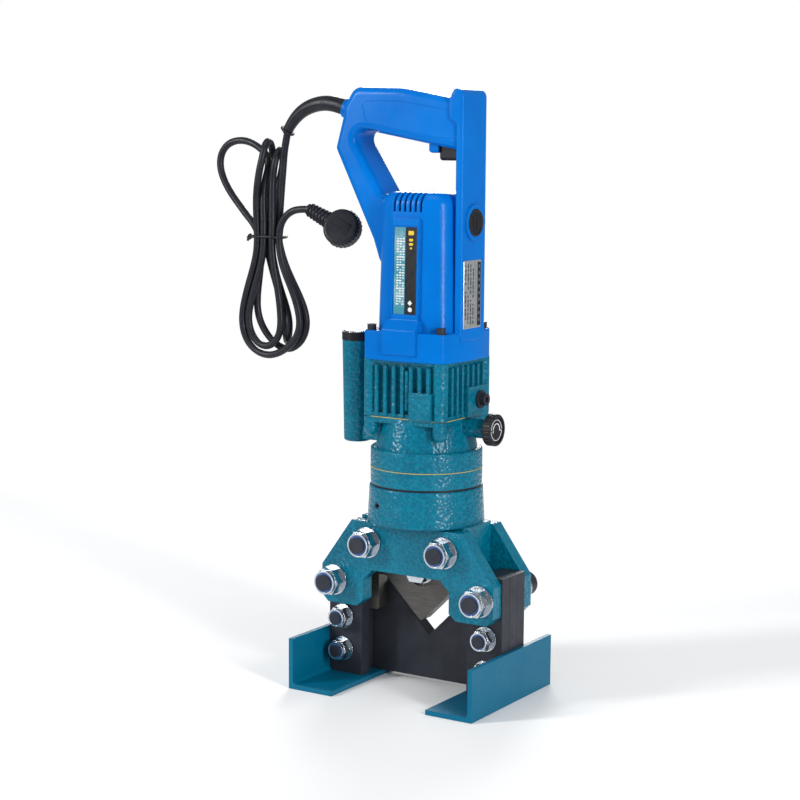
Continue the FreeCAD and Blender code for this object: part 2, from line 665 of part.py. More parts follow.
def make_valve():
    """The release valve: a stem in the valve boss and a knurled knob with a recessed face."""
    stem = fuse(cylinder("4", "36", "valve_end-33", "0", "valve_z", "X"),
                cylinder("6.6", "3", "valve_end+0.3", "0", "valve_z", "X"))
    finish("release_stem", stem)
    start = "valve_end+3.3"
    rim = fillet(cylinder("knob_radius", "knob_thick", start, "0", "valve_z", "X"), "1.2",
                 lambda edge: edge.Length > 50)
    face = cylinder("knob_radius-2.8", "1.4", f"{start}+knob_thick-1.4", "0", "valve_z", "X")
    grooves = []
    for number in range(24):
        turn = math.radians(number * 15)
        reach = value("knob_radius") + 0.7
        y, z = reach * math.cos(turn), value("valve_z") + reach * math.sin(turn)
        grooves.append(cylinder("1.2", "knob_thick-2.4", f"{start}+1.2", text(y), text(z), "X"))
    finish("release_knob", cut(rim, face, *grooves))


def make_bladder_tube():
    """The oil compensator: a slightly tapered tube, a plastic ring, a metal cap and the rubber bladder."""
    tube = cone("tube_low_radius", "tube_high_radius", "tube_top-tube_bottom", "tube_x", "0", "tube_bottom")
    tube = fillet(tube, "2.5", lambda edge: edge.CenterOfMass.z < value("tube_bottom") + 1 and edge.Length > 50)
    bore = cylinder("tube_bore", "tube_top-tube_bottom-6", "tube_x", "0", "tube_bottom+6")
    finish("bladder_tube", cut(tube, bore))
    finish("bladder_ring", ring("tube_high_radius+0.4", "tube_bore", "8", "tube_x", "0", "tube_top"))
    cap = fuse(cylinder("tube_bore", "9", "tube_x", "0", "tube_top-1"),
               cone("tube_high_radius-1", "tube_high_radius-2", "1.4", "tube_x", "0", "tube_top+8"))
    finish("bladder_cap", cut(cap, hexagon("5", "5", "tube_x", "0", "tube_top+5")))
    finish("oil_bladder", fillet(cylinder("tube_bore-1", "84", "tube_x", "0", "tube_bottom+6"), "5",
                                 lambda edge: edge.Length > 50))


make_head_block()
make_cylinder()
make_ram()
make_return_spring()

# ---- gears, plunger pump and motor


def gear_shape(teeth, low, high, bore):
    """A spur wheel with involute flanks, thinned a little so that the pair runs with backlash."""
    module, pressure, thinning = value("gear_module"), math.radians(20), 0.10
    pitch = teeth * module / 2
    base = pitch * math.cos(pressure)
    tip, root = pitch + 0.85 * module, pitch - 1.1 * module
    half_angle = math.pi / (2 * teeth) - thinning / (2 * pitch)

    def flank(radius):
        """Half the tooth's angle at a radius."""
        if radius <= base:
            radius = base
        roll = math.acos(base / radius)
        return half_angle + (math.tan(pressure) - pressure) - (math.tan(roll) - roll)

    radii = [root] + [max(root, base) + (tip - max(root, base)) * step / 4 for step in range(5)]
    points = []
    for tooth in range(teeth):
        middle = 2 * math.pi * tooth / teeth
        for sign, order in ((-1, radii), (1, list(reversed(radii)))):
            for radius in order:
                angle = middle + sign * flank(radius)
                points.append(Vector(radius * math.cos(angle), radius * math.sin(angle), low))
    wheel = Part.Face(Part.makePolygon(points + [points[0]])).extrude(Vector(0, 0, high - low))
    return wheel.cut(Part.makeCylinder(bore, high - low, Vector(0, 0, low)))


def make_gears():
    """The eccentric shaft with its wheel, beside the motor's pinion: returns its two bearings."""
    low, high = value("gear_low"), value("gear_high")
    wheel = gear_shape(int(value("wheel_teeth")), low, high, 3)
    shaft = Part.makeCylinder(5, 60, Vector(0, 0, 258))
    eccentric = Part.makeCylinder(value("eccentric_radius"), 10, Vector(value("eccentric"), 0, 276))
    solid = wheel.fuse([shaft, eccentric]).removeSplitter()
    solid.translate(Vector(-value("gear_centre"), 0, 0))
    shape_part("eccentric_shaft", solid)
    x = "0-gear_centre"
    return [ring("9", "5+shaft_gap", "7", x, "0", "259"), ring("9", "5+shaft_gap", "6", x, "0", "311")]


def make_pump_element():
    """The sealed pump cartridge on the pump body: a steel block whose round nose faces the eccentric."""
    nose = cylinder("6", "12", "eccentric-gear_centre+eccentric_radius+nose_gap", "0", "281", "X")
    block = fillet(box("22", "24", "20.8", "0-3", "0-12", "pump_top"), "1.5",
                   lambda edge: edge.CenterOfMass.z > value("pump_top") + 20.7)
    finish("pump_element", fuse(block, nose))


def make_motor(pump_bearings):
    """The universal motor: armature with pinion, fan and commutator, and the parts it runs in."""
    shaft = Part.makeCylinder(value("motor_shaft"), 150, Vector(0, 0, 318))
    pinion = gear_shape(int(value("pinion_teeth")), value("gear_low") - 0.5, value("gear_high") + 0.5, 1.5)
    core_shaft = Part.makeCylinder(3, 20, Vector(0, 0, 298))
    neck = Part.makeCylinder(3.2, 9, Vector(0, 0, 309.5))
    stack = Part.makeCylinder(value("armature_radius"), 50, Vector(0, 0, 370))
    slots = []
    for number in range(12):
        slot = Part.makeBox(8, 2.4, 50, Vector(15, -1.2, 370))
        slot.rotate(Vector(), Vector(0, 0, 1), 30 * number)
        slots.append(slot)
    winding = Part.makeCone(17, 12, 12, Vector(0, 0, 420))
    lower_winding = Part.makeCone(12, 17, 10, Vector(0, 0, 360))
    solid = stack.cut(slots).fuse([shaft, core_shaft, neck, pinion, winding, lower_winding]).removeSplitter()
    shape_part("armature", solid)
    commutator = Part.makeCylinder(12, 16, Vector(0, 0, 446)).cut(
        Part.makeCylinder(value("motor_shaft"), 16, Vector(0, 0, 446)))
    shape_part("commutator", commutator)
    hub = Part.makeCylinder(9, 10, Vector(0, 0, 346)).cut(
        Part.makeCylinder(value("motor_shaft"), 10, Vector(0, 0, 346)))
    disc = Part.makeCylinder(32, 1.6, Vector(0, 0, 346)).cut(
        Part.makeCylinder(value("motor_shaft"), 1.6, Vector(0, 0, 346)))
    blades = []
    for number in range(11):
        vane = Part.makeBox(23, 1.4, 8, Vector(8.5, -0.7, 347))
        vane.rotate(Vector(8.5, 0, 0), Vector(0, 0, 1), 18)
        vane.rotate(Vector(), Vector(0, 0, 1), 360 / 11 * number)
        blades.append(vane)
    shape_part("motor_fan", hub.fuse([disc] + blades).removeSplitter())
    lower = ring("14", "motor_shaft+shaft_gap", "9", z="330")
    upper = ring("11", "motor_shaft+shaft_gap", "6", z="463")
    finish("ball_bearings", group([lower, upper] + pump_bearings))
    yoke = cylinder("stator_radius", "stator_high-stator_low", z="stator_low")
    window = cylinder("armature_radius+air_gap", "stator_high-stator_low", z="stator_low")
    finish("stator", cut(yoke, window))
    brushes = []
    for start in ("12.1", "0-30.1"):
        brushes.append(box("18", "6", "9", start, "0-3", "brush_z-4.5"))
    finish("carbon_brushes", group(brushes))
    finish("bearing_bracket", make_bracket())


def make_bracket():
    """The gear-case cover between the pump housing and the motor can: it carries two bearings."""
    x = "0-gear_centre"
    plate_block = square("can_y", "14", "flange_bottom", "flange_bottom+10")
    bosses = [cylinder("18", "8", z="flange_bottom+9"), cylinder("12.5", "14", x, "0", "311")]
    bores = [cylinder("14", "20", z="330"), cylinder("5", "20", z="322"),
             cylinder("9", "6", x, "0", "311"), cylinder("5.6", "4", x, "0", "316")]
    return cut(fuse(plate_block, *bosses), *bores)


make_pump_body()
make_pump_housing()
make_valve()
make_bladder_tube()
eccentric_bearings = make_gears()
make_pump_element()
make_motor(eccentric_bearings)

# ---- motor housing and handle

GRIP = [("0-74", "580", "12"), ("0-86.6", "561", "9"), ("0-87", "552", "8"), ("0-95.4", "522", "6"),
        ("0-52", "436", "12"), ("0-43", "410", "12"), ("0-20", "410", "6"), ("0-20", "478", "3"),
        ("0-39.5", "478", "7.5"), ("0-82", "543", "9"), ("47", "520.3", "8"), ("47", "567", "8"),
        ("0-20", "579", "90")]
COVER = [("0-64", "566.5", "6"), ("0-20", "566.5", "60"), ("38", "557", "7"), ("39.5", "531", "4"),
         ("13", "533.5", "4"), ("0-58", "546.5", "6")]


def flat_edge(half):
    """Picks the edges that lie on the two side faces at y = -half and +half."""
    reach = value(half)
    return lambda edge: (abs(abs(edge.CenterOfMass.y) - reach) < 0.01
                         and abs(edge.tangentAt(edge.FirstParameter).y) < 0.01)


def make_grip():
    """The grip on top, the sloping arm, and the foot that runs into the motor can."""
    bar = extrude(outline("XZ", "0-grip_half", GRIP), (0, 1, 0), "grip_half+grip_half")
    return fillet(bar, "grip_fillet", flat_edge("grip_half"))


def make_spine():
    """The flat upright that carries the wiring down from the switch."""
    corners = [("spine_inner", "flange_bottom+20", "0"), ("spine_outer", "flange_bottom+20", "0"),
               ("spine_outer", "spine_top", "8"), ("40", "spine_top", "3"), ("34", "569", "2"),
               ("34", "550", "2"),
               ("spine_inner", "545", "3")]
    block = extrude(outline("XZ", "0-spine_half", corners), (0, 1, 0), "spine_half+spine_half")
    return fillet(block, "3", lambda edge: flat_edge("spine_half")(edge) and edge.Length > 1)


def can_loft(inset, low, high):
    """The motor can: a rounded square that narrows slightly upwards."""
    sections = []
    for z, shrink in ((low, "0"), (high, "can_top_inset")):
        x_half, y_half = f"can_x-{inset}-{shrink}", f"can_y-{inset}-{shrink}"
        corners = [(signed(x, x_half), signed(y, y_half), f"can_corner-{inset}")
                   for x, y in ((-1, -1), (1, -1), (1, 1), (-1, 1))]
        sections.append(outline("XY", z, corners))
    item = doc.addObject("Part::Loft", "can")
    item.Sections = sections
    item.Solid = True
    item.Ruled = True
    return item


def flange_plan(inset):
    """A square whose four sides bow out a little, with rounded corners tangent to them."""
    bow, middle = value("flange_bow") - inset, value("flange_middle") - inset
    radius = value("flange_round") - inset / 2
    depth = bow - middle
    centre = (math.sqrt(2 * (bow - radius) ** 2 - depth ** 2) - depth) / 2
    scale = bow / (bow - radius)
    across, up = centre * scale, (centre + depth) * scale - depth
    reach = centre + radius / math.sqrt(2)
    edges = []
    for side in range(4):
        turn = Rotation(Vector(0, 0, 1), 90 * side)
        points = [turn.multVec(Vector(*point)) for point in
                  ((-across, -up, 0), (0, -middle, 0), (across, -up, 0), (reach, -reach, 0), (up, -across, 0))]
        edges += [Part.Arc(*points[:3]), Part.Arc(*points[2:])]
    return edges


def make_flange(inset, low, high):
    sketch = doc.addObject("Sketcher::SketchObject", "flange_plan")
    sketch.addGeometry(flange_plan(inset), False)
    sketch.Placement = Placement(Vector(0, 0, value(low)), Rotation())
    return extrude(sketch, (0, 0, 1), less(high, low))


def side_profile(points, start, width, side):
    """A block along X whose outline is given as (height, distance from the axis) on one side of the can."""
    sketch = doc.addObject("Sketcher::SketchObject", "side_profile")
    corners = [Vector(value(across) * side, value(up), 0) for up, across in points]
    count = len(corners)
    sketch.addGeometry([Part.LineSegment(corners[n], corners[(n + 1) % count]) for n in range(count)], False)
    sketch.Placement = Placement(Vector(value(start), 0, 0), Rotation(Vector(1, 1, 1), 120))
    return extrude(sketch, (1, 0, 0), width)


def make_front_panel(side):
    """The raised label panel on the can's broad side, with the ramp and the apron below it on the flange."""
    ramp = [("flange_bottom+6", "50.6"), ("flange_top+2", "50.6"), ("363", "42.4"), ("363", "30"),
            ("flange_bottom+6", "30")]
    panel = [("362", "42.45"), ("458", "40.2"), ("458", "30"), ("362", "30")]
    return fuse(side_profile(ramp, "0-20", "37", side), side_profile(panel, "0-14.6", "29.2", side))


def label_recess(side):
    """The shallow pocket that the label lies in, parallel to the panel."""
    pocket = [("367", "45"), ("451", "45"), ("451", "39.9"), ("367", "41.85")]
    return side_profile(pocket, "0-13.2", "26.4", side)


def make_housing():
    dome = fillet(can_loft("0", "flange_bottom+10", "can_top"), "13",
                  lambda edge: edge.CenterOfMass.z > value("can_top") - 0.1)
    flange = fillet(make_flange(0, "flange_bottom", "flange_top"), "1.6",
                    lambda edge: edge.CenterOfMass.z > value("flange_top") - 0.1)
    bosses = [cylinder("cap_ring_radius", "12", start, "0", "brush_z", "X") for start in ("40.3", "0-47")]
    gland = cone("11.5", "9.6", "16", "0", "0", "0")
    gland.Placement = Placement(Vector(value("gland_x") + 5, 0, value("gland_z") - 1.5),
                                Rotation(Vector(0, 1, 0), value("gland_tilt") - 90))
    for axis in "xyz":
        gland.setExpression(f"Placement.Base.{axis}", None)
    guard = fillet(box("10", "24", "20", "7.5", "0-12", "518.5"), "3",
                   lambda edge: edge.CenterOfMass.z < 519 and abs(edge.tangentAt(0).y) < 2)
    panels = [make_front_panel(-1), make_front_panel(1)]
    solid = fuse(make_grip(), make_spine(), dome, flange, gland, guard, *bosses, *panels)

    can_room = can_loft("can_wall", "flange_bottom+8", "can_top-8")
    foot_room = make_flange(5, "flange_bottom", "flange_bottom+10")
    cover_seat = extrude(outline("XZ", "0-grip_half-0.5", COVER), (0, 1, 0), "3.5")
    switch_room = box("99", "grip_half+8.5", "22", "0-58", "0-grip_half+2.5", "538")
    trigger_slot = box("trigger_end-trigger_x+0.8", "trigger_half+trigger_half+0.8", "40",
                       "trigger_x-0.4", "0-trigger_half-0.4", "505")
    wire_way = cylinder("5", "60", "0-100", "0", "gland_z", "X")
    brush_holes = [cylinder("cap_radius", "24", start, "0", "brush_z", "X") for start in ("33", "0-57")]
    screw_holes = [cylinder("2.8", "30", x, y, "flange_bottom") for x, y in at_columns()]
    screw_seats = [cylinder("6", "20", x, y, "flange_top-0.6") for x, y in at_columns()]
    vents = []
    for side in ("0-60", "0+26"):
        for number in range(6):
            vents.append(box("2.7", "34", "20", text(number * 5.8 - 16), side, "464"))
    recesses = [label_recess(-1), label_recess(1)]
    shell = cut(solid, can_room, foot_room, cover_seat, switch_room, trigger_slot, wire_way,
                *brush_holes, *screw_holes, *screw_seats, *vents, *recesses)
    bridge = cut(box("74", "22", "8", "0-37", "0-11", "463"), cylinder("11", "6", z="463"),
                 cylinder("5", "10", z="463"))
    stator_land = ring("36.9", "stator_radius", "6", z="stator_low")
    brush_tubes = []
    for start, channel in (("14", "12"), ("0-35", "0-37")):
        tube = box("21", "9", "16", start, "0-4.5", "brush_z-6")
        brush_tubes.append(cut(tube, box("25", "6", "9", channel, "0-3", "brush_z-4.5")))
    finish("motor_housing", fuse(shell, bridge, stator_land, *brush_tubes))
    finish("handle_cover", extrude(outline("XZ", "0-grip_half", COVER), (0, 1, 0), "3"))
    caps = [cylinder("cap_radius", "13.8", start, "0", "brush_z", "X") for start in ("38.5", "0-52.3")]
    finish("brush_caps", group(caps))


def make_flange_screws():
    """Four socket screws with washers, through the flange and the pump housing into the pump body."""
    screws = []
    for x, y in at_columns():
        washer = cylinder("5.6", "1", x, y, "flange_top-0.6")
        head = cylinder("4.3", "5.2", x, y, "flange_top+0.4")
        shank = cylinder("2.5", "flange_top-pump_top+13", x, y, "pump_top-13")
        key = hexagon("2.4", "3", x, y, "flange_top+2.8")
        screws.append(cut(fuse(washer, head, shank), key))
    finish("flange_screws", group(screws))


def make_switch():
    """The trigger, which slides up into the grip, and the switch behind it."""
    low, high = "trigger_bottom", "533"
    block = fillet(box("trigger_end-trigger_x", "trigger_half+trigger_half", f"{high}-{low}",
                       "trigger_x", "0-trigger_half", low), "3",
                   lambda edge: edge.CenterOfMass.z < value(low) + 0.1 or
                   (edge.CenterOfMass.x < value("trigger_x") + 0.1 and edge.CenterOfMass.z < value(high) - 0.1))
    finish("trigger", block)
    finish("switch_body", box("40", "22", "17", "0", "0-11", "540"))


make_housing()
make_flange_screws()
make_switch()

# ---- mains lead


def bent_path(points, print_name):
    """Straight runs joined by tangent arcs: each arc is as large as its two runs allow."""
    edges, radii, last = [], [], points[0]
    for before, here, after in zip(points, points[1:], points[2:]):
        back, ahead = before - here, after - here
        turn = math.pi - back.getAngle(ahead)
        reach = 0.45 * min(back.Length, ahead.Length)
        radii.append(reach / math.tan(turn / 2))
        back.normalize()
        ahead.normalize()
        start, end = here + back * reach, here + ahead * reach
        centre = here + (back + ahead).normalize() * (radii[-1] / math.cos(turn / 2))
        middle = centre + (here - centre).normalize() * radii[-1]
        edges += [Part.LineSegment(last, start).toShape(), Part.Arc(start, middle, end).toShape()]
        last = end
    edges.append(Part.LineSegment(last, points[-1]).toShape())
    print(print_name, "radii", [round(radius) for radius in radii])
    return Part.Wire(edges)


def cord_tube(name, points):
    path = bent_path([Vector(*point) for point in points], name)
    direction = Vector(*points[1]) - Vector(*points[0])
    profile = Part.Wire([Part.makeCircle(value("cord_radius"), Vector(*points[0]), direction)])
    tube = path.makePipeShell([profile], True, False)
    section = math.pi * value("cord_radius") ** 2
    ratio = tube.Volume / (section * path.Length)
    print(name, "length", round(path.Length, 1), "volume ratio", round(ratio, 4))
    shape_part(name, tube)


BOOT = [(-93, 0, 560.2, 7.9), (-104, 0, 563.2, 7.7), (-118, 0, 565, 7.4), (-132, 0, 563.2, 7.1),
        (-145, 0, 558, 6.6), (-156, 0, 549.2, 5.8), (-165, 0, 537, 4.9)]
LEAD = [(-163.9, 0, 538.7), (-168.6, 0.5, 521), (-171, 1.5, 502), (-174, 2.6, 480), (-176.3, 3.4, 459),
        (-178.8, 3.6, 434.5)]
TAIL = [(-172.7, -3.6, 434.5), (-170.2, -3.7, 447), (-161.5, -3.5, 457.2), (-149, -3, 461.8),
        (-135.2, -2.4, 461.4)]


def make_boot():
    """The tapered rubber sleeve over the lead, from the gland round to its small end."""
    stations = []
    for index, (x, y, z, radius) in enumerate(BOOT):
        before = BOOT[max(index - 1, 0)]
        after = BOOT[min(index + 1, len(BOOT) - 1)]
        along = Vector(after[0] - before[0], after[1] - before[1], after[2] - before[2])
        stations.append(Part.Wire([Part.makeCircle(radius, Vector(x, y, z), along)]))
    shape_part("cord_boot", Part.makeLoft(stations, True, False))


LOOP_HOLE = [(-206, 458), (-217, 458), (-223, 466), (-231, 474), (-238, 482), (-245, 492), (-248.5, 502),
             (-247, 512), (-241, 519), (-232, 522.5), (-223, 523), (-212, 520), (-202, 514), (-201, 500),
             (-204, 480)]
TEARDROP_HOLE = [(-188, 412), (-194, 395), (-198, 378), (-199, 362), (-196, 350), (-189, 340), (-183, 335),
                 (-178, 342), (-176.5, 355), (-178.5, 375), (-182, 395)]
UPPER_FOLDS = [(-207, 524), (-197, 531), (-182, 522), (-182, 492), (-190, 472), (-200, 472)]
LOWER_FOLD = [(-194, 385), (-188, 333), (-182, 325), (-172, 325), (-166, 333), (-176, 385)]


def make_hank():
    """The outer shape of the tied hank: two bights above the tie and a teardrop of loops below it.

    Two more blocks behind it hold the folds that turn back in depth, above the tie and at the bottom.
    """
    edge = [(-167, 436), (-168, 425), (-164, 408), (-154, 384), (-141, 358), (-137, 342), (-143, 326), (-158, 316),
            (-178, 308), (-197, 307), (-213, 313), (-224, 326), (-228, 345), (-225, 368), (-216, 392), (-209, 415),
            (-208, 436), (-216, 452), (-236, 475), (-252, 492), (-256.5, 510), (-249, 526), (-232, 535),
            (-212, 532), (-198, 531), (-188, 534), (-182.5, 524), (-180.5, 505), (-183.2, 470), (-183.2, 436)]
    points = [Vector(x, -10, z) for x, z in edge]
    curve = Part.BSplineCurve()
    curve.interpolate(points)
    top = Part.LineSegment(points[-1], points[0]).toShape()
    face = Part.Face(Part.Wire([curve.toShape(), top]))
    slab = face.extrude(Vector(0, 20, 0)).cut([through_hole(LOOP_HOLE), through_hole(TEARDROP_HOLE)])
    shape_part("cord_hank", slab.fuse([fold_block(UPPER_FOLDS), fold_block(LOWER_FOLD)]).removeSplitter())


def through_hole(edge):
    """What the loops leave open: a prism through the slab from an outline in X and Z."""
    points = [Vector(x, -11, z) for x, z in edge]
    return Part.Face(Part.makePolygon(points + [points[0]])).extrude(Vector(0, 22, 0))


def fold_block(edge):
    """A block behind the hank from an outline in X and Z, its back edges rounded."""
    points = [Vector(x, 8, z) for x, z in edge]
    block = Part.Face(Part.makePolygon(points + [points[0]])).extrude(Vector(0, 20, 0))
    return block.makeFillet(3, [rim for rim in block.Edges if rim.CenterOfMass.y > 27.9])


def make_plug():
    """A flat angled mains plug: ribbed sleeve, round body and three flat pins."""
    axis = Vector(-0.23, 0.91, -0.34).normalize()
    centre = Vector(-96.5, -2, 443.5)
    body = Part.makeCylinder(value("plug_radius"), 15, centre - axis * 9, axis)
    edges = [edge for edge in body.Edges if edge.Length > 50 and edge.Closed]
    body = body.makeFillet(3.5, edges)
    start = Vector(-137.5, -2.6, 462)
    along = (centre - start).normalize()
    sleeve = Part.makeCone(5.6, 7.6, 30, start, along)
    bridge = Part.makeCone(7.6, 8.4, 20, start + along * 25, along)
    shape_part("plug_body", body.fuse([sleeve, bridge]).removeSplitter())
    across = axis.cross(along).normalize()
    up = axis.cross(across)
    pins = []
    for turn, lean in ((90, 0), (210, 60), (330, -60)):
        angle = math.radians(turn)
        foot = centre + axis * 6.05 + (across * math.cos(angle) + up * math.sin(angle)) * 8.5
        pin = Part.makeBox(6.3, 1.6, 17, Vector(-3.15, -0.8, 0))
        pin.rotate(Vector(), Vector(0, 0, 1), turn + 90)
        frame = FreeCAD.Matrix(across.x, up.x, axis.x, foot.x, across.y, up.y, axis.y, foot.y,
                               across.z, up.z, axis.z, foot.z, 0, 0, 0, 1)
        pins.append(pin.transformGeometry(frame))
    shape_part("plug_pins", Part.makeCompound(pins))


make_boot()
cord_tube("cord_lead", LEAD)
make_hank()
cord_tube("cord_tail", TAIL)
make_plug()

# ---- check everything, then write each sub-part to its own file

doc.recompute()
faults = [item.Name for item in doc.Objects if "Invalid" in item.State or "Error" in item.State]
for item in sub_parts:
    if item.Shape.isNull() or not item.Shape.isValid():
        faults.append(item.Label)
print(len(sub_parts), "sub-parts,", "faults:", faults)
if faults:
    raise SystemExit("the model has faults")
for item in sub_parts:
    item.Shape.exportStep(os.path.join("parts", item.Label + ".step"))
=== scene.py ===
import math

import bmesh
import bpy
from mathutils import Matrix, Vector


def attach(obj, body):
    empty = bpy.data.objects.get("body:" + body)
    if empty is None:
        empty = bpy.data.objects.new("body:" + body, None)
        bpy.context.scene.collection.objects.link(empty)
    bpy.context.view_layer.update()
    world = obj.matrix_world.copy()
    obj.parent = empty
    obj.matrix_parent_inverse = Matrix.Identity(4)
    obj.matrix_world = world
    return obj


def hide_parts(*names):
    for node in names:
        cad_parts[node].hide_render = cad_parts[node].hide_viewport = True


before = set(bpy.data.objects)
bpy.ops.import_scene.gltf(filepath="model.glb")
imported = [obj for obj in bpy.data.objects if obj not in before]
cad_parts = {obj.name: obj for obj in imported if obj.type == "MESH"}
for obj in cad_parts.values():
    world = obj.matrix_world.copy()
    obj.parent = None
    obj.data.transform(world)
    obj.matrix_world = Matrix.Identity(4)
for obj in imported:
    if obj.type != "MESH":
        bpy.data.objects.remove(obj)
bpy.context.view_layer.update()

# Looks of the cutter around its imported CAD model. Everything is in metres, in the row's frame.

AXIS_Y = 0.0083          # the tool's axis lies this far behind the origin
CORD_RADIUS = 0.0036
SHARP_ANGLE = 40         # degrees: flatter edges than this are shaded smooth

# ---- camera


def add_camera():
    azimuth, elevation, roll = (math.radians(angle) for angle in (32.339, 8.007, 0.353))
    back = Vector((math.sin(azimuth) * math.cos(elevation),
                   -math.cos(azimuth) * math.cos(elevation), math.sin(elevation)))
    right = Vector((0, 0, 1)).cross(back).normalized()
    up = back.cross(right)
    turned = right * math.cos(roll) + up * math.sin(roll)
    upright = up * math.cos(roll) - right * math.sin(roll)
    data = bpy.data.cameras.new("camera")
    data.lens = 86.63
    data.sensor_width = 36
    camera = bpy.data.objects.new("camera", data)
    bpy.context.scene.collection.objects.link(camera)
    turn = Matrix((turned, upright, back)).transposed().to_4x4()
    camera.matrix_world = Matrix.Translation(Vector((-0.03074, AXIS_Y, 0.27968)) + back * 1.8714) @ turn
    bpy.context.scene.camera = camera


add_camera()

# ---- the mains lead: one spline from the sleeve, through the tied hank, to the plug

